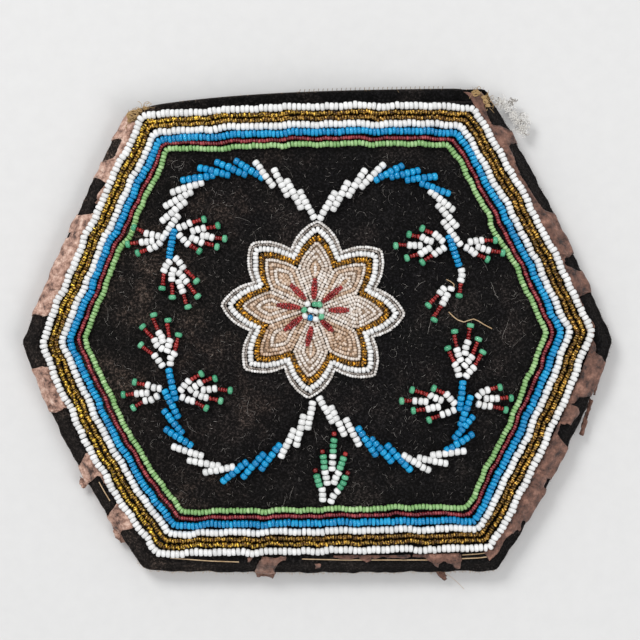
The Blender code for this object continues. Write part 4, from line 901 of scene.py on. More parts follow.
def velvet_material():
    """Short dark pile, mottled in patches, browner and lighter towards the left."""
    material, surface = new_material("black_velvet", 0.92)
    surface.inputs["Sheen Weight"].default_value = 0.10
    surface.inputs["Sheen Roughness"].default_value = 0.45
    surface.inputs["Sheen Tint"].default_value = (0.55, 0.42, 0.36, 1.0)
    surface.inputs["Specular IOR Level"].default_value = 0.12
    patches = ramp(material, noise(material, 58, 6.0, 0.66), (
        (0.40, (0.0024, 0.0024, 0.0028)), (0.54, (0.0040, 0.0038, 0.0040)), (0.68, (0.013, 0.0108, 0.0102)),
    ))
    brown = ramp(material, noise(material, 75, 6.0, 0.66), (
        (0.40, (0.0040, 0.0036, 0.0036)), (0.53, (0.0088, 0.0072, 0.0066)), (0.66, (0.038, 0.028, 0.023)),
    ))
    shade = mix_colour(material, from_left(material, -0.060, 0.005), brown, patches)
    specks = ramp(material, noise(material, 1500, 3.0, 0.75), (
        (0.42, (0.35, 0.35, 0.35)), (0.52, (1.0, 1.0, 1.0)), (0.64, (5.2, 5.0, 4.8)),
    ))
    wire(material, mix_colour(material, 1.0, shade, specks, "MULTIPLY"), surface.inputs["Base Color"])
    bump(material, surface, noise(material, 1500, 3.0, 0.7), 0.9, 0.0008)
    return material


def silk_material():
    """Thin worn ribbon silk: a fine rib, faded copper to brown. Its mottling is partly dark smudges and
    partly painted fold shadows and painted highlights.
    """
    material, surface = new_material("worn_ribbon_silk", 0.50)
    surface.inputs["Sheen Weight"].default_value = 0.12
    surface.inputs["Specular IOR Level"].default_value = 0.35
    # Painted fold shadows at the darkest stops and painted highlights at the lightest, mixed with real
    # smudges.
    pink = ramp(material, noise(material, 420, 6.0, 0.70), (
        (0.36, (0.060, 0.030, 0.022)), (0.45, (0.30, 0.165, 0.120)), (0.54, (0.52, 0.310, 0.235)),
        (0.65, (0.80, 0.58, 0.47)),
    ))
    # The brown silk is the same: painted fold shadows and painted highlights mixed with its smudges.
    brown = ramp(material, noise(material, 330, 6.0, 0.72), (
        (0.38, (0.022, 0.011, 0.009)), (0.47, (0.115, 0.053, 0.037)), (0.56, (0.190, 0.090, 0.062)),
        (0.68, (0.370, 0.190, 0.135)),
    ))
    shade = mix_colour(material, from_left(material, -0.045, -0.005), pink, brown)
    wire(material, shade, surface.inputs["Base Color"])
    bump(material, surface, noise(material, 900, 4.0, 0.75, (1.0, 0.5, 1.0)), 0.8, 0.0007)
    return material


def cloth_material(name, low, high, scale=1800):
    """Dull cloth, thread or board, mottled between two colours."""
    material, surface = new_material(name, 0.9)
    surface.inputs["Specular IOR Level"].default_value = 0.2
    shade = ramp(material, noise(material, 240, 5.0, 0.6), ((0.3, low), (0.7, high)))
    wire(material, shade, surface.inputs["Base Color"])
    bump(material, surface, noise(material, scale, 3.0, 0.7), 0.6, 0.0004)
    return material


def make_materials():
    """All materials, by the short names that the pieces use."""
    return {
        "white": bead_material("white_bead_glass", (
            (0.0, (0.70, 0.70, 0.69)), (0.5, (0.80, 0.80, 0.79)), (1.0, (0.88, 0.88, 0.87)))),
        "blue": bead_material("blue_bead_glass", (
            (0.0, (0.001, 0.190, 0.43)), (0.5, (0.002, 0.270, 0.56)), (1.0, (0.010, 0.37, 0.68))), 0.12),
        "red": bead_material("red_bead_glass", (
            (0.0, (0.12, 0.012, 0.018)), (0.5, (0.22, 0.022, 0.030)), (1.0, (0.44, 0.070, 0.080))), 0.10),
        "spray_red": bead_material("spray_red_bead_glass", (
            (0.0, (0.15, 0.007, 0.008)), (0.5, (0.26, 0.013, 0.013)), (1.0, (0.42, 0.035, 0.030))), 0.12),
        "green": bead_material("border_green_bead_glass", (
            (0.0, (0.190, 0.38, 0.125)), (0.5, (0.270, 0.48, 0.180)), (1.0, (0.42, 0.63, 0.30)))),
        "spray_green": bead_material("spray_green_bead_glass", (
            (0.0, (0.055, 0.31, 0.16)), (0.5, (0.090, 0.39, 0.21)), (1.0, (0.150, 0.48, 0.28))), 0.12),
        # Each gold's first colour is its painted highlight on the left, and its second is the one on the
        # right.
        "gold": gold_material("gold_bead_glass", (0.90, 0.60, 0.075), (0.62, 0.37, 0.065)),
        "dark_gold": gold_material("dark_gold_bead_glass", (0.62, 0.39, 0.065), (0.50, 0.29, 0.060)),
        "flower_gold": gold_material("flower_gold_bead_glass", (0.70, 0.34, 0.020), (0.66, 0.31, 0.02)),
        "bright_clear": bead_material("bright_clear_bead_glass", (
            (0.0, (0.52, 0.48, 0.44)), (0.5, (0.72, 0.69, 0.66)), (1.0, (0.88, 0.86, 0.84))), 0.08),
        "clear": bead_material("clear_bead_glass", (
            (0.0, (0.16, 0.13, 0.11)), (0.5, (0.28, 0.24, 0.21)), (1.0, (0.55, 0.50, 0.46))), 0.12),
        "beige": bead_material("petal_bead_glass", (
            (0.0, (0.34, 0.205, 0.120)), (0.35, (0.52, 0.36, 0.24)), (0.7, (0.64, 0.48, 0.36)),
            (1.0, (0.76, 0.62, 0.51))), 0.22),
        "pale_beige": bead_material("pale_petal_bead_glass", (
            (0.0, (0.52, 0.42, 0.34)), (0.4, (0.70, 0.61, 0.53)), (1.0, (0.84, 0.79, 0.74))), 0.20),
        "petal_ground": cloth_material("petal_ground_thread", (0.27, 0.185, 0.125), (0.40, 0.29, 0.20), 3000),
        "velvet": velvet_material(),
        "silk": silk_material(),
        "lining": cloth_material("cotton_lining", (0.20, 0.14, 0.085), (0.34, 0.26, 0.17)),
        "thread": cloth_material("tan_sewing_thread", (0.42, 0.27, 0.14), (0.74, 0.56, 0.36), 5200),
        "knot_thread": cloth_material("golden_knot_thread", (0.30, 0.185, 0.075), (0.58, 0.40, 0.20), 5200),
        "white_thread": cloth_material("white_sewing_thread", (0.80, 0.77, 0.72), (0.95, 0.94, 0.92), 5200),
        "lint": cloth_material("lint_fibre", (0.10, 0.085, 0.075), (0.60, 0.56, 0.52), 6000),
        "card": cloth_material("stiff_card", (0.36, 0.28, 0.19), (0.46, 0.37, 0.26), 900),
        "floor": cloth_material("pale_floor", (0.690, 0.688, 0.682), (0.712, 0.710, 0.703), 60),
    }


# Panels


def rim_line(front):
    """The mouth's rim from its right end to its left end."""
    right, left = VELVET_CORNERS[0], VELVET_CORNERS[1]
    shares = np.linspace(0, 1, 160)
    line = right + (left - right) * shares[:, None]
    if front:
        drop = FRONT_RIM_DROP_RIGHT + (FRONT_RIM_DROP_LEFT - FRONT_RIM_DROP_RIGHT) * shares
        line[:, 1] -= drop
    else:
        line[:, 1] += BACK_RIM_ARCH * np.sin(math.pi * (1 - shares) ** 0.7)
    return line


def edge_wobble(points):
    """How far the soft edge wanders from its line, by place round the bag."""
    angle = np.arctan2(points[:, 1], points[:, 0])
    slow = 0.00014 * np.sin(angle * 39 + 1.3) + 0.00010 * np.sin(angle * 71 + 2.1)
    return slow + 0.00007 * np.sin(angle * 127)


def panel_edge(front, step=PANEL_STEP):
    """A panel's edge, evenly spaced, with rounded corners, anticlockwise."""
    points = [rim_line(front)]
    for side in BOUND_SIDES:
        points.append(bowed(VELVET_CORNERS[side], VELVET_CORNERS[(side + 1) % 6], BOWS[side], 120))
    if front:
        points[1] = points[1][points[1][:, 1] < points[0][-1, 1]]
        points[5] = points[5][points[5][:, 1] < points[0][0, 1]]
    edge = soften(resample(np.vstack(points), step, True), int(round(CORNER_ROUND / step)))
    wobble = edge_wobble(edge) * (1 - mouth_share(edge))
    return edge + outward(edge) * wobble[:, None]


def mouth_share(edge):
    """1 along the mouth's rim, falling to 0 at the bound edges."""
    span = VELVET_CORNERS[0] - VELVET_CORNERS[1]
    along = unit(span)
    offset = edge - VELVET_CORNERS[1]
    reach = offset @ along
    depth = np.abs(offset[:, 1] * along[0] - offset[:, 0] * along[1])
    inside = smooth_step((np.minimum(reach, np.linalg.norm(span) - reach) - 0.002) / 0.008)
    return inside * (depth < 0.006)


def outward(edge):
    """The outward direction at each point of an anticlockwise line."""
    along = unit(np.roll(edge, -1, axis=0) - np.roll(edge, 1, axis=0))
    return np.stack([along[:, 1], -along[:, 0]], axis=1)


PANEL_ROWS = np.concatenate([np.linspace(0.02, 0.86, 18), np.linspace(0.875, 1.0, 13)])
LINING_ROWS = np.linspace(0.02, 1.0, 20)


def polar_faces(rows, columns, flip):
    """Faces between closed rings, and the fan that fills the innermost."""
    faces = []
    for i in range(rows - 1):
        for j in range(columns):
            after = (j + 1) % columns
            a, b = i * columns + j, i * columns + after
            faces.append((a, a + columns, b + columns, b))
    size = rows * columns
    caps = [(j, (j + 1) % columns, size) for j in range(columns)]
    if flip:
        faces = [face[::-1] for face in faces]
        caps = [face[::-1] for face in caps]
    return faces, caps


def panel_cloth(node, edge, shares, layer, roll, surface, flip):
    """A panel as a fan of rings from its middle, with rolled edge rows."""
    middle = edge.mean(axis=0)
    rows = []
    for share in shares:
        flat = middle + (edge - middle) * share
        rows.append(np.column_stack([flat, heights(flat)[layer]]))
    rows += roll(edge, rows[-1])
    centre = np.append(middle, heights(middle)[layer])
    vertices = np.vstack(rows + [centre[None]])
    faces, caps = polar_faces(len(rows), len(edge), flip)
    mesh = bpy.data.meshes.new(node + "_cloth")
    mesh.from_pydata(vertices.tolist(), [], faces + caps)
    thing = link(node + "_cloth", mesh, surface)
    solid = thing.modifiers.new("cloth", "SOLIDIFY")
    solid.thickness = CLOTH
    solid.offset = -1.0
    graph = bpy.context.evaluated_depsgraph_get()
    thing.data = bpy.data.meshes.new_from_object(thing.evaluated_get(graph))
    thing.modifiers.clear()
    thing.data.polygons.foreach_set("use_smooth", [True] * len(thing.data.polygons))
    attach(thing, "root")
    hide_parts(node)
    return thing


def turned_rows(edge, last, reach, rise):
    """Rows that turn half round from the last row, up or down to twice this rise."""
    out = outward(edge)
    return [
        np.column_stack([edge + out * reach * math.sin(angle), last[:, 2:] + rise * (1 - math.cos(angle))])
        for angle in np.linspace(0, math.pi, 9)[1:]]


def hem_lines(edge, mouth):
    """Flat lines inward from the edge: a long hem at the mouth, short elsewhere."""
    depth = 0.0002 + (HEM_LENGTH - 0.0002) * mouth
    return [edge - outward(edge) * depth * share for share in (0.3, 0.65, 1.0)]


def front_roll(edge, last):
    """The front's edge turns down: at the mouth right under, as a hem."""
    mouth = mouth_share(edge)[:, None]
    drop = ROLL_HALF_HEIGHT + HEM_EXTRA * mouth
    rows = turned_rows(edge, last, ROLL_OUT + HEM_EXTRA * mouth, -drop)
    for flat in hem_lines(edge, mouth):
        under = heights(flat)[3][:, None] - 2 * drop
        rows.append(np.column_stack([flat, np.where(mouth > 0.02, under, last[:, 2:] - 2 * drop)]))
    return rows


def back_roll(edge, last):
    """The back's edge turns up, and at the mouth over, as a hem."""
    mouth = mouth_share(edge)[:, None]
    rise = ROLL_HALF_HEIGHT + 0.00095 * mouth * smooth_step((0.0022 - last[:, 2:]) / 0.0022 + 0.2)
    rows = turned_rows(edge, last, ROLL_OUT + HEM_EXTRA * mouth, rise)
    for flat in hem_lines(edge, mouth):
        rows.append(np.column_stack([flat, heights(flat)[0][:, None] + 2 * rise]))
    return rows


def no_roll(edge, last):
    return []


def make_panels(materials):
    """Both velvets and both linings, as sheets of cloth."""
    front_in = panel_edge(True, LINING_STEP)
    back_in = panel_edge(False, LINING_STEP)
    front_in = front_in - outward(front_in) * LINING_INSET
    back_in = back_in - outward(back_in) * LINING_INSET
    panels = (
        ("front_velvet", panel_edge(True), PANEL_ROWS, 3, front_roll, "velvet", False),
        ("back_velvet", panel_edge(False), PANEL_ROWS, 0, back_roll, "velvet", True),
        ("front_lining", front_in, LINING_ROWS, 2, no_roll, "lining", False),
        ("back_lining", back_in, LINING_ROWS, 1, no_roll, "lining", False),
    )
    for node, edge, shares, layer, roll, surface, flip in panels:
        thing = panel_cloth(node, edge, shares, layer, roll, materials[surface], flip)
        if node == "back_lining":
            face_mouth(thing, materials["velvet"])
    for node in ("front_card", "back_card"):
        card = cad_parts[node]
        card.data.materials.clear()
        card.data.materials.append(materials["card"])


def face_mouth(lining, surface):
    """Velvet on the lining where the open mouth shows it."""
    lining.data.materials.append(surface)
    rim = rim_line(True)[::-1]
    for face in lining.data.polygons:
        x, y, _ = face.center
        if y > np.interp(x, rim[:, 0], rim[:, 1]) - MOUTH_FACING:
            face.material_index = 1


# Beads


def border_wave(points):
    """The rows' shared small waves, by place round the bag."""
    angle = np.arctan2(points[:, 1], points[:, 0])
    slow = 0.00016 * np.sin(angle * 23 + 0.7) + 0.00013 * np.sin(angle * 41 + 2.0)
    return slow + 0.0001 * np.sin(angle * 67)


def border_line(inset):
    """A row's line round the bag, bowed between its corners."""
    insets = [inset * spread - move for spread, move in zip(BORDER_SPREADS, BORDER_MOVES)]
    corners = inset_corners(OUTLINE + np.array(BORDER_CORNER_INSETS), insets)
    return soften(resample(ring_of_sides(corners, BORDER_BOWS, 200), FINE_STEP, True), 5)


def border_path(name, inset, rng):
    """A row's line with its waves and swerves."""
    line = border_line(inset)
    out = outward(line)
    own = np.interp(np.arange(len(line)), np.linspace(0, len(line), 150), rng.normal(0, 0.00007, 150))
    shift = border_wave(line) + own
    for x, y, amount, reach in ROW_SWERVES.get(name, ()):
        away = np.linalg.norm(line - from_picture([(x, y)])[0, :2], axis=1)
        shift = shift + amount * np.exp(-(away / reach) ** 2)
    return line + out * shift[:, None]


def make_border(materials):
    """The seven rows of beads round the bag."""
    for (name, width, pitch, fine, colour), inset in zip(BORDER_ROWS, ROW_INSETS):
        rng = draws(name)
        path = border_path(name, inset, rng)
        loose = 2.2 if "gold" in name else 1.3 if fine else 1.0
        part = string_of_beads(path, pitch, width, fine, rng, True, loose=loose)
        make_joined(name + "_beads", [part], materials[colour], name, True)


def place_petal(points, petal):
    """Flat points round a petal's axis, turned to this petal and moved to the flower."""
    turn = FLOWER_TURN + 2 * math.pi * petal / PETALS
    spin = np.array([[math.cos(turn), math.sin(turn)], [-math.sin(turn), math.cos(turn)]])
    return points @ spin * FLOWER_STRETCH + from_picture([FLOWER_CENTRE_PX])[0, :2]


def petal_shoulder(radius):
    """Where a petal meets the next one, at this radius."""
    half = math.pi / PETALS
    return np.array([math.cos(half), math.sin(half)]) * radius


def petal_row(tip_radius, valley_radius, bulge):
    """A row round the flower: lines from tip to valley that bulge outward."""
    side = bowed(np.array([tip_radius, 0.0]), petal_shoulder(valley_radius), bulge, 60)
    both = np.vstack([side[::-1] * (1, -1), side[1:]])
    line = np.vstack([place_petal(both, petal) for petal in range(PETALS)])
    return soften(resample(line, FINE_STEP, True), 2)


def petal_leaf(petal, inset):
    """A closed row inside one petal, this far in from the petal's edge."""
    shoulder = petal_shoulder(PETAL_SHOULDER)
    corners = np.array([(0.0, 0.0), shoulder * (1, -1), (PETAL_TIP, 0.0), shoulder])
    corners = inset_corners(corners, [inset] * 4)
    swell = PETAL_SWELL * (1 - inset / PETAL_HALF_WIDTH)
    line = place_petal(ring_of_sides(corners, (0.0, swell, swell, 0.0), 60), petal)
    return soften(resample(line, FINE_STEP, True), 2)


def petal_ground(petal):
    """Thread and cloth that show between a petal's beads, as a thin sheet."""
    lines = inner_rings(petal_leaf(petal, 0.0002))
    rings = [np.column_stack([flat, front_height(flat) + GROUND_LIFT]) for flat in lines]
    return patch(rings, GROUND_THICKNESS)


def petal_axis(petal):
    """Ends of the short string of beads in a petal's middle."""
    flat = place_petal(np.array([(reach, 0.0) for reach in PETAL_MIDDLE]), petal)
    return np.column_stack([flat, front_height(flat) + BEAD_LIFT + PETAL_BEAD / 2])


def make_petals(materials):
    """Clear beads that fill the petals, some rows paler than others."""
    rng = draws("flower_petals")
    parts, kinds = [], []
    for petal in range(PETALS):
        for row, inset in enumerate(PETAL_INSETS):
            path = petal_leaf(petal, inset)
            parts.append(string_of_beads(path, PETAL_PITCH, PETAL_BEAD, True, rng, True, loose=1.8))
            kinds.append((row + (rng.random() < 0.25)) % 2)
        parts.append(petal_ground(petal))
        kinds.append(2)
        start, end = petal_axis(petal)
        centres, axes, pitch = line_of_beads(start, end, 5, PETAL_BEAD, rng)
        parts.append(beads(centres, axes, pitch, PETAL_BEAD, True))
        kinds.append(petal % 2)
    surfaces = [materials["pale_beige"], materials["beige"], materials["petal_ground"]]
    make_joined("flower_petals_beads", parts, surfaces, "flower_petals", True, kinds)


def make_flower(materials):
    """The rows round the flower, then its petals, rays and centre."""
    edge = []
    for name, tip, valley, bulge, width, pitch, fine, colour in FLOWER_ROWS:
        rng = draws(name + colour)
        lift = BEAD_LIFT + (GOLD_RING_RISE if "gold" in name else 0.0)
        part = string_of_beads(petal_row(tip, valley, bulge), pitch, width, fine, rng, True, lift)
        if name == "flower_clear_edge":
            edge.append(part)
        else:
            make_joined(name + "_beads", [part], materials[colour], name, True)
    surfaces = [materials["bright_clear"], materials["clear"]]
    make_joined("flower_clear_edge_beads", edge, surfaces, "flower_clear_edge", True, (0, 1))
    make_petals(materials)
    make_rays(materials)
    make_flower_centre(materials)


def make_rays(materials):
    """Red spindles on the petals' axes."""
    rng = draws("rays")
    parts = []
    for start_px, end_px in RAYS_PX:
        start, end = from_picture((start_px, end_px), RAY_LIFT)
        count = int(round(np.linalg.norm(end - start) / 0.00075)) + 1
        across = unit(np.cross(end - start, (0, 0, 1)))
        for side in (-1, 1):
            centres, axes, pitch = line_of_beads(start, end, count, 0.001, rng)
            spread = RAY_HALF_WIDTH * np.sin(np.linspace(0.25, math.pi - 0.25, count)) * side
            centres = centres + across * spread[:, None]
            parts.append(beads(centres, axes, pitch * 0.96, 0.00102, True))
    make_joined("flower_red_rays_beads", parts, materials["spray_red"], "flower_red_rays", True)


def make_flower_centre(materials):
    """The small cluster of beads sewn over the rays."""
    rng = draws("flower_centre")
    colours = ("white", "spray_green", "blue")
    parts, kinds = [], []
    for colour, x, y in CENTRE_BEADS_PX:
        centre = from_picture([(x, y)], CENTRE_LIFT)
        axis = unit(rng.normal(0, 1, (1, 3)) * (1, 1, 0.3))
        parts.append(beads(centre, axis, CENTRE_BEAD_LENGTH, CENTRE_BEAD))
        kinds.append(colours.index(colour))
    surfaces = [materials[colour] for colour in colours]
    make_joined("flower_centre_beads", parts, surfaces, "flower_centre", True, kinds)


def make_vines(materials):
    """Each vine's groups of slanted strings, humped over their thread."""
    for name, lanes in VINES_PX.items():
        rng = draws(name)
        parts = []
        count = STEM_BEADS if len(lanes) == 1 else LANE_BEADS
        for x0, y0, x1, y1 in lanes:
            start, end = from_picture(((x0, y0), (x1, y1)), BEAD_LIFT + VINE_BEAD / 2)
            centres, axes, pitch = line_of_beads(start, end, count, VINE_BEAD, rng, LANE_ARCH)
            parts.append(beads(centres, axes, pitch, VINE_BEAD * rng.normal(1, 0.03, count)))
        colour = "white" if name.endswith("white") else "blue"
        make_joined(name + "_beads", parts, materials[colour], name, True)


def finger_beads(whites, greens, reds, rng):
    """One finger's beads as parts, each with the index of its material."""
    parts = []
    white_row = (whites, SPRAY_WHITE, SPRAY_WHITE_LENGTH, 0)
    green_row = (greens, BASE_GREEN, GREEN_LENGTH, 2)
    for spots, width, length, kind in (white_row, green_row):
        if len(spots):
            centres = from_picture(spots, BEAD_LIFT + width / 2 + 0.0002)
            axes = np.gradient(centres, axis=0) if len(centres) > 1 else centres - reds[0]
            parts.append((beads(centres, tilt(unit(axes), rng, 0.08), length, width), kind))
    if len(reds):
        start, end = reds
        count = max(int(round(np.linalg.norm(end - start) / RED_PITCH)) + 1, 2)
        centres, axes, pitch = line_of_beads(start, end, count, SPRAY_RED, rng)
        widths = SPRAY_RED * rng.normal(1.0, 0.08, count)
        parts.append((beads(centres, tilt(axes, rng, 0.25), pitch * 0.95, widths, True), 1))
    return parts


def make_sprays(materials):
    """The sprays at the vines, then the one at the bottom centre."""
    surfaces = [materials["white"], materials["spray_red"], materials["spray_green"]]
    for name, fingers in SPRAYS_PX.items():
        rng = draws(name)
        made = []
        for spots in fingers:
            whites, red_end, tip_px = spots[:-2], spots[-2], spots[-1]
            last, end, tip = from_picture((whites[-1], red_end, tip_px), BEAD_LIFT + SPRAY_RED / 2 + 0.0003)
            start = last + unit(end - last) * RED_START
            made += finger_beads(whites, (), (start, end), rng)
            tip[2] += 0.0003
            axis = unit(tip - last)[None]
            made.append((beads(tip[None] + axis * 0.0001, axis, GREEN_LENGTH, SPRAY_GREEN), 2))
        add_spray(name, made, surfaces)
    rng = draws("spray_base")
    made = []
    for whites, greens, red_px in BASE_SPRAY_PX:
        red = from_picture([red_px, greens[-1]], BEAD_LIFT + SPRAY_RED / 2)
        made += finger_beads(whites, greens, (), rng)
        axis = unit(red[0] - red[1])[None]
        made.append((beads(red[:1], axis, 0.0012, 0.0014), 1))
    add_spray("spray_base", made, surfaces)


def add_spray(name, made, surfaces):
    """One spray from its parts; the upper right one has a lone bead beside it."""
    if name == "spray_upper_right_tip":
        lone = from_picture([LONE_BEAD_PX], BEAD_LIFT + SPRAY_WHITE / 2)
        made.append((beads(lone, np.array([[0.3, 1.0, 0.1]]), 0.0015, SPRAY_WHITE), 0))
    parts, kinds = zip(*made)
    make_joined(name + "_beads", parts, surfaces, name, True, kinds)


# Ribbon


def corner_slides():
    """How each corner moves for every metre that the sides go inward."""
    moved = inset_corners(VELVET_CORNERS, [0.0] + [0.001] * 5)
    return (moved - VELVET_CORNERS) / 0.001


def ribbon_point(side, shares, reach, slides):
    """Places along one side, this far in from its edge."""
    after = (side + 1) % 6
    start = VELVET_CORNERS[side] + slides[side] * reach[:, None]
    end = VELVET_CORNERS[after] + slides[after] * reach[:, None]
    along = unit(VELVET_CORNERS[after] - VELVET_CORNERS[side])
    out = np.array([along[1], -along[0]])
    ends = (np.maximum(1 - spot * side_length(side) / 0.0028, 0) ** 2 for spot in (shares, 1 - shares))
    round_off = sum(ends) * 0.0009
    bow = BOWS[side] * 4 * shares * (1 - shares)
    line = start + (end - start) * shares[:, None]
    bow = bow + edge_wobble(line) * np.exp(-np.maximum(reach, 0) / 0.0015)
    return line + out * (bow - round_off)[:, None]


def torn_warp(across, shares, length, phases):
    """How far the silk's tears slant and wander along the side."""
    place = shares * length
    shift = 0.00034 * np.sin(place * 1150 + across * 700 + phases[0])
    shift += 0.00026 * np.sin(place * 1900 - across * 1500 + phases[1])
    shift += 0.00010 * np.sin(place * 5200 + across * 4100 + phases[2])
    return (shift + 0.22 * np.maximum(across, 0) * np.sin(place * 230 + phases[3])) / length


def ribbon_grid(side, stations, begin, finish, slides, waves, phases):
    """Points of the ribbon from one line to another across its width."""
    rows = []
    for column, wave in enumerate(waves):
        across = begin + (finish - begin) * column / (len(waves) - 1)
        shares = stations + torn_warp(across, stations, side_length(side), phases)
        shares = np.clip(shares, 0.001, 0.999)
        wall = np.clip(-across / WALL_ARC, 0, 1)
        reach = np.where(across > 0, across, np.maximum(-across - WALL_ARC, 0))
        bulge = WALL_OUT * np.sin(wall * math.pi) ** 0.75
        flat = ribbon_point(side, shares, reach - bulge, slides)
        back, _, _, front = heights(ribbon_point(side, shares, reach, slides))
        top = front + SILK_LIFT + SILK
        bottom = back - SILK_LIFT - SILK * 0.5
        arc = (top + bottom) / 2 + (top - bottom) / 2 * np.cos(wall * math.pi)
        z = np.where(across > 0, top, np.where(across < -WALL_ARC, bottom, arc))
        rows.append(np.column_stack([flat, z + np.where(across > 0.0004, wave, 0)]))
    return np.stack(rows, axis=1)


def wander(count, rng, amount, step):
    """A slow random line, with one draw at every step."""
    marks = np.arange(0, count + step, step)
    return np.interp(np.arange(count), marks, rng.normal(0, amount, len(marks)))


def jagged(count, rng, amount, step):
    """A torn line: slow wander with sharp little teeth."""
    slow = wander(count, rng, amount, step)
    teeth = np.abs(rng.normal(0, amount * 0.45, count))
    return slow + teeth


def runs_of(keep):
    """First and last index of every run of kept stations."""
    padded = np.concatenate([[False], keep, [False]]).astype(int)
    starts = np.flatnonzero(np.diff(padded) == 1)
    ends = np.flatnonzero(np.diff(padded) == -1) - 1
    return [(a, b) for a, b in zip(starts, ends) if b - a >= 2]


def rag(outline_px, rng):
    """A torn scrap that stands out past the edge, thin and a little curled."""
    corners = level_place(outline_px, RAG_HEIGHT)
    edge = resample(corners, 0.0004, True)
    edge[:, :2] += rng.normal(0, 0.00010, (len(edge), 2))
    rings = inner_rings(edge)
    for share, ring in zip(PATCH_SHARES, rings):
        ring[:, 2] += 0.0003 * np.sin(np.arange(len(edge)) * 0.9) * share
    return patch(rings, RAG_THICKNESS)


def silk_edges(name, shares, rng):
    """How far in the silk is worn off and reaches, and where wear has touched it."""
    table = np.array(SILK_LEFT[name])
    worn = np.interp(shares, table[:, 0], table[:, 1]) / 1000
    kept = np.interp(shares, table[:, 0], table[:, 2]) / 1000
    touched = worn > 0.0001
    count = len(shares)
    worn = worn + np.where(touched, jagged(count, rng, 0.00022, 5), 0)
    kept = kept + np.where(kept < 0.0048, jagged(count, rng, 0.00015, 4), rng.normal(0, 0.00003, count))
    return worn, kept, touched


def creases(count, rng):
    """The silk's small waves, one line for each column across the ribbon."""
    waves = [0.00012 * wander(count, rng, 1, 5) for _ in range(RIBBON_COLUMNS)]
    return [(waves[i - 1] + waves[i]) / 2 + np.abs(waves[0] * 1.1) for i in range(RIBBON_COLUMNS)]


def make_ribbons(materials):
    """The silk that is left on each bound side, front and back."""
    slides = corner_slides()
    for side, name in zip(BOUND_SIDES, SILK_LEFT):
        rng = draws(name)
        count = int(side_length(side) / RIBBON_STEP)
        shares = np.linspace(0.004, 0.996, count)
        worn, kept, touched = silk_edges(name, shares, rng)
        phases = rng.uniform(0, 2 * math.pi, 4)
        waves = creases(count, rng)
        fray = np.abs(rng.normal(0, 0.0002, count))
        begin = np.where(touched, np.maximum(worn, 0.0003), -WALL_ARC * 0.5)
        back_begin = np.where(touched, -WALL_ARC * 0.72 - fray, -WALL_ARC * 0.5)
        parts = []
        for first, last in runs_of(kept - begin > 0.00035):
            run = slice(first, last + 1)
            cut = [wave[run] for wave in waves]
            grid = ribbon_grid(side, shares[run], begin[run], kept[run], slides, cut, phases)
            parts.append(slab(grid[::-1], SILK))
        end = np.full(count, -WALL_ARC - SILK_BACK)
        smooth = [wave * 0 for wave in waves]
        grid = ribbon_grid(side, shares, end, back_begin, slides, smooth, phases)
        parts.append(slab(grid[::-1], SILK))
        parts += [rag(outline_px, rng) for outline_px in RAGS_PX.get(name, ())]
        thing = make_joined(name + "_silk", parts, materials["silk"], name, True)


# Threads, knots and lint


def wandering(start, heading, length, rng, curl, steps=9, rise=0.0):
    """A short fibre's points, which curls at random in its plane."""
    turn = rng.normal(0, curl)
    angle = math.atan2(heading[1], heading[0])
    points = [np.array(start, dtype=float)]
    for step in range(steps):
        angle += turn + rng.normal(0, curl * 0.5)
        move = np.array([math.cos(angle), math.sin(angle), rise * math.cos(step * 0.7)])
        points.append(points[-1] + move * length / steps)
    return np.array(points)


def make_lint(materials):
    """Curled fibres and specks caught in the pile all over the front."""
    rng = draws("lint")
    parts = []
    while len(parts) < LINT_COUNT:
        spot = np.array([rng.uniform(*LINT_WIDTH), rng.uniform(*LINT_HEIGHT)])
        if side_distances(spot[None]).min() < LINT_BORDER or spot[1] > LINT_TOP:
            continue
        long = len(parts) < LONG_LINT_COUNT
        length = rng.uniform(0.0020, 0.0062) if long else rng.uniform(0.0003, 0.0016)
        line = wandering((*spot, 0), rng.normal(0, 1, 2), length, rng, 0.22, 9 if long else 3)
        line[:, 2] = front_height(line) + 0.00008 + 0.00025 * np.sin(np.linspace(0, math.pi, len(line)))
        parts.append(tube(line, rng.uniform(0.000018 if long else 0.00002, 0.00004), 3))
    make_joined("velvet_lint_fibres", parts, materials["lint"], "front_velvet")


def make_edge_fuzz(materials):
    """Short tan fibres that stand out of the worn edges."""
    rng = draws("edge_fuzz")
    parts, kinds = [], []
    edge = panel_edge(False, 0.0004)
    out = outward(edge)
    for index in np.repeat(np.arange(len(edge)), 2):
        base = edge[index, 1] < -0.066 and abs(edge[index, 0]) < 0.052
        mouth = edge[index, 1] > 0.062 and abs(edge[index, 0] + 0.003) < 0.05
        if rng.random() > (0.9 if base else 0.3):
            continue
        height = rng.uniform(0.0018, 0.0036)
        start = np.append(edge[index] + out[index] * 0.0003, height)
        heading = out[index] + rng.normal(0, 0.5, 2)
        length = rng.uniform(0.0004, 0.0012) * (1.0 if base else 0.75)
        parts.append(tube(wandering(start, heading, length, rng, 0.25, 4, 0.3), FUZZ_RADIUS, 3))
        kinds.append(0 if base or mouth else 1)
    surfaces = [materials["thread"], materials["silk"]]
    make_joined("edge_fuzz_fibres", parts, surfaces, "loose_thread", False, kinds)


def make_stitches(materials):
    """Sewing threads along the bottom edge, and small stitches at the rim."""
    parts = []
    for line_px in STITCH_LINES_PX:
        line = resample(from_picture(line_px, 0.00022), 0.0008, False)
        line[:, 2] = front_height(line) + 0.0002
        parts.append(tube(line, STITCH_RADIUS, 6))
    make_joined("edge_stitches", parts, materials["thread"], "loose_thread")
    rim = rim_line(False)[::-1]
    parts = []
    for x_px in np.arange(*RIM_STITCHES_PX):
        x = level_place([(x_px, 87)], 0.003)[0, 0]
        y = np.interp(x, rim[:, 0], rim[:, 1]) + 0.0007
        line = np.array([x, y, 0.0030]) + np.array(RIM_STITCH)
        parts.append(tube(line, RIM_STITCH_RADIUS, 5))
    make_joined("rim_stitches", parts, materials["lining"], "loose_thread")


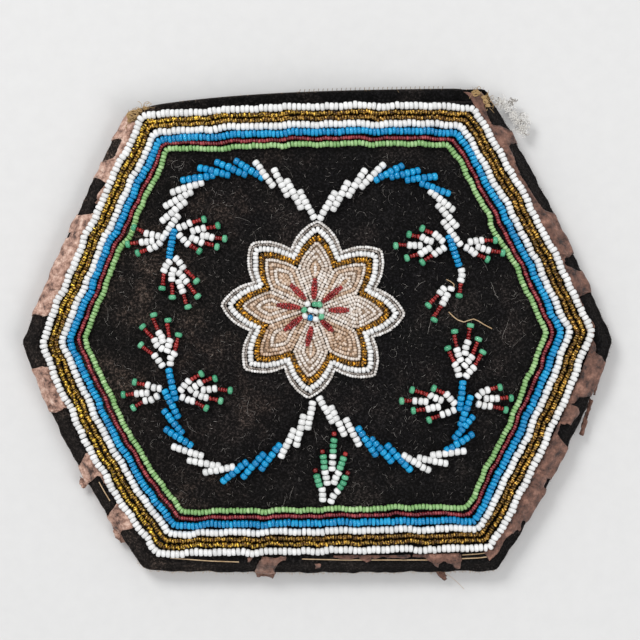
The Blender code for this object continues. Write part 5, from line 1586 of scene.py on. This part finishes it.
def tangle(centre, radius, turns, thick, rng, flat=0.6):
    """A thread wound loosely about one place."""
    steps = turns * 14
    angles = np.linspace(0, turns * 2 * math.pi, steps)
    tilts = np.interp(angles, np.linspace(0, angles[-1], turns * 3), rng.uniform(0, math.pi, turns * 3))
    reaches = rng.uniform(0.55, 1.0, turns * 4)
    reach = radius * np.interp(angles, np.linspace(0, angles[-1], turns * 4), reaches)
    x = reach * np.cos(angles)
    y = reach * np.sin(angles) * np.cos(tilts)
    z = reach * np.sin(angles) * np.sin(tilts) * flat
    return tube(centre + np.stack([x, y, z], axis=1), thick, 5)


def make_knots(materials):
    """Thread knots at both ends of the mouth, with their frayed ends."""
    for node, lumps in KNOTS_PX.items():
        rng = draws(node)
        middle = np.mean(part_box(node), axis=0)
        parts = []
        for x, y, spread, loops in lumps:
            spot = level_place([(x, y)], middle[2])[0]
            spot[2] = max(front_height(spot)[0], middle[2] - 0.0012) + spread * 0.45
            parts.append(tangle(spot, spread, loops, KNOT_RADIUS, rng))
            for _ in range(KNOT_ENDS):
                start = spot + rng.normal(0, 0.0005, 3) * (1, 1, 0.4)
                line = wandering(start, rng.normal(0, 1, 2), rng.uniform(0.0010, 0.0030), rng, 0.35)
                parts.append(tube(line, KNOT_END_RADIUS, 4))
        make_joined(node + "_thread", parts, materials["knot_thread"], node, True)


def make_tuft(materials):
    """The white frayed tuft that hangs out beside the mouth."""
    rng = draws("thread_tuft")
    low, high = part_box("thread_tuft")
    z = (low[2] + high[2]) / 2
    clumps = level_place(TUFT_PX, z)
    parts, kinds = [], []
    for index, clump in enumerate(clumps):
        for _ in range(TUFT_FIBRES):
            start = clump + rng.normal(0, 0.0006, 3) * (1, 1, 0.5)
            line = wandering(start, rng.normal(0, 1, 2), rng.uniform(0.0006, 0.0022), rng, 0.7, 8, 0.4)
            parts.append(tube(line, rng.uniform(0.00006, 0.00015), 4))
            kinds.append(int(rng.random() < (0.7 if index == BROWN_CLUMP else 0.08)))
    core = resample(np.vstack([clumps[0] - (0.003, 0, 0), clumps[[0, 1, 3, 4, 5, 7]]]), 0.0006, False)
    parts.append(tube(core + rng.normal(0, 0.0001, core.shape), 0.00010, 5))
    kinds.append(0)
    surfaces = [materials["white_thread"], materials["lint"]]
    make_joined("thread_tuft_fibres", parts, surfaces, "thread_tuft", True, kinds)


def make_loose_thread(materials):
    """The loose end on the velvet, the loop at the lone bead and the hair below the base."""
    line = from_picture(LOOSE_THREAD_PX)
    line = resample(line, 0.0004, False)
    line = np.column_stack([line[:, :2], front_height(line) + 0.00018])
    wave = np.sin(np.linspace(0, 9, len(line)))
    line[:, 2] += 0.00015 * (1 + wave)
    parts = [tube(line, THREAD_RADIUS, 6)]
    loop = resample(from_picture(BEAD_LOOP_PX, 0.0004), 0.0003, False)
    loop[:, 2] += 0.0009 * np.sin(np.linspace(0, math.pi, len(loop)))
    parts.append(tube(loop, LOOP_RADIUS, 6))
    parts.append(tube(resample(level_place(HAIR_PX, 0.0022), 0.0005, False), HAIR_RADIUS, 4))
    make_joined("loose_thread_ends", parts, materials["thread"], "loose_thread", True)


# Floor, lights and camera


def make_stage(materials):
    """The floor, just under the bag's rest plane."""
    mesh = bpy.data.meshes.new("floor")
    ticks = np.linspace(-FLOOR_SIDE, FLOOR_SIDE, FLOOR_STEPS)
    vertices = [(x, y, FLOOR_Z) for y in ticks for x in ticks]
    faces = []
    for row in range(FLOOR_STEPS - 1):
        for column in range(FLOOR_STEPS - 1):
            a = row * FLOOR_STEPS + column
            faces.append((a, a + 1, a + FLOOR_STEPS + 1, a + FLOOR_STEPS))
    mesh.from_pydata(vertices, [], faces)
    floor = link("floor", mesh, materials["floor"])


def add_light(name, place, size, watts):
    """A round area light at a place, aimed at the bag's middle."""
    data = bpy.data.lights.new(name, "AREA")
    data.shape = "DISK"
    data.size = size
    data.energy = watts
    light = bpy.data.objects.new(name, data)
    light.location = place
    bpy.context.collection.objects.link(light)
    aim = np.array(place) / np.linalg.norm(place)
    light.rotation_euler = (math.acos(aim[2]), 0.0, math.atan2(aim[1], aim[0]) + math.pi / 2)
    return light


def make_lights():
    add_light("soft_key", (-0.55, 0.75, 0.95), 0.55, 9.0)
    add_light("soft_fill", (0.70, -0.45, 1.00), 0.80, 5.0)
    world = bpy.data.worlds.new("studio")
    bpy.context.scene.world = world
    world.use_nodes = True
    background = world.node_tree.nodes["Background"]
    background.inputs["Color"].default_value = WORLD_TINT
    background.inputs["Strength"].default_value = WORLD_LIGHT


def make_camera():
    data = bpy.data.cameras.new("picture_camera")
    data.lens = CAMERA_LENS_MM
    data.sensor_width = CAMERA_SENSOR_MM
    data.clip_start = 0.01
    camera = bpy.data.objects.new("picture_camera", data)
    camera.location = CAMERA
    bpy.context.collection.objects.link(camera)
    bpy.context.scene.camera = camera


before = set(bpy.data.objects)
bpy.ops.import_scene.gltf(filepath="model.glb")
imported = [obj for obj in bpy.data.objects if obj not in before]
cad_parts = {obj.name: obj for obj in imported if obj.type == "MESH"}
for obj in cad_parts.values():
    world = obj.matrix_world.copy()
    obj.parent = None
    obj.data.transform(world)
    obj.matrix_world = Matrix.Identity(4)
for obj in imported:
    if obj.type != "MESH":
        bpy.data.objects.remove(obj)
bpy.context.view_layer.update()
MATERIALS = make_materials()
make_camera()
make_panels(MATERIALS)
make_border(MATERIALS)
make_flower(MATERIALS)
make_vines(MATERIALS)
make_sprays(MATERIALS)
make_ribbons(MATERIALS)
make_lint(MATERIALS)
make_edge_fuzz(MATERIALS)
make_stitches(MATERIALS)
make_knots(MATERIALS)
make_tuft(MATERIALS)
make_loose_thread(MATERIALS)
make_stage(MATERIALS)
make_lights()
bpy.context.scene.view_settings.view_transform = "Standard"
bpy.context.view_layer.update()
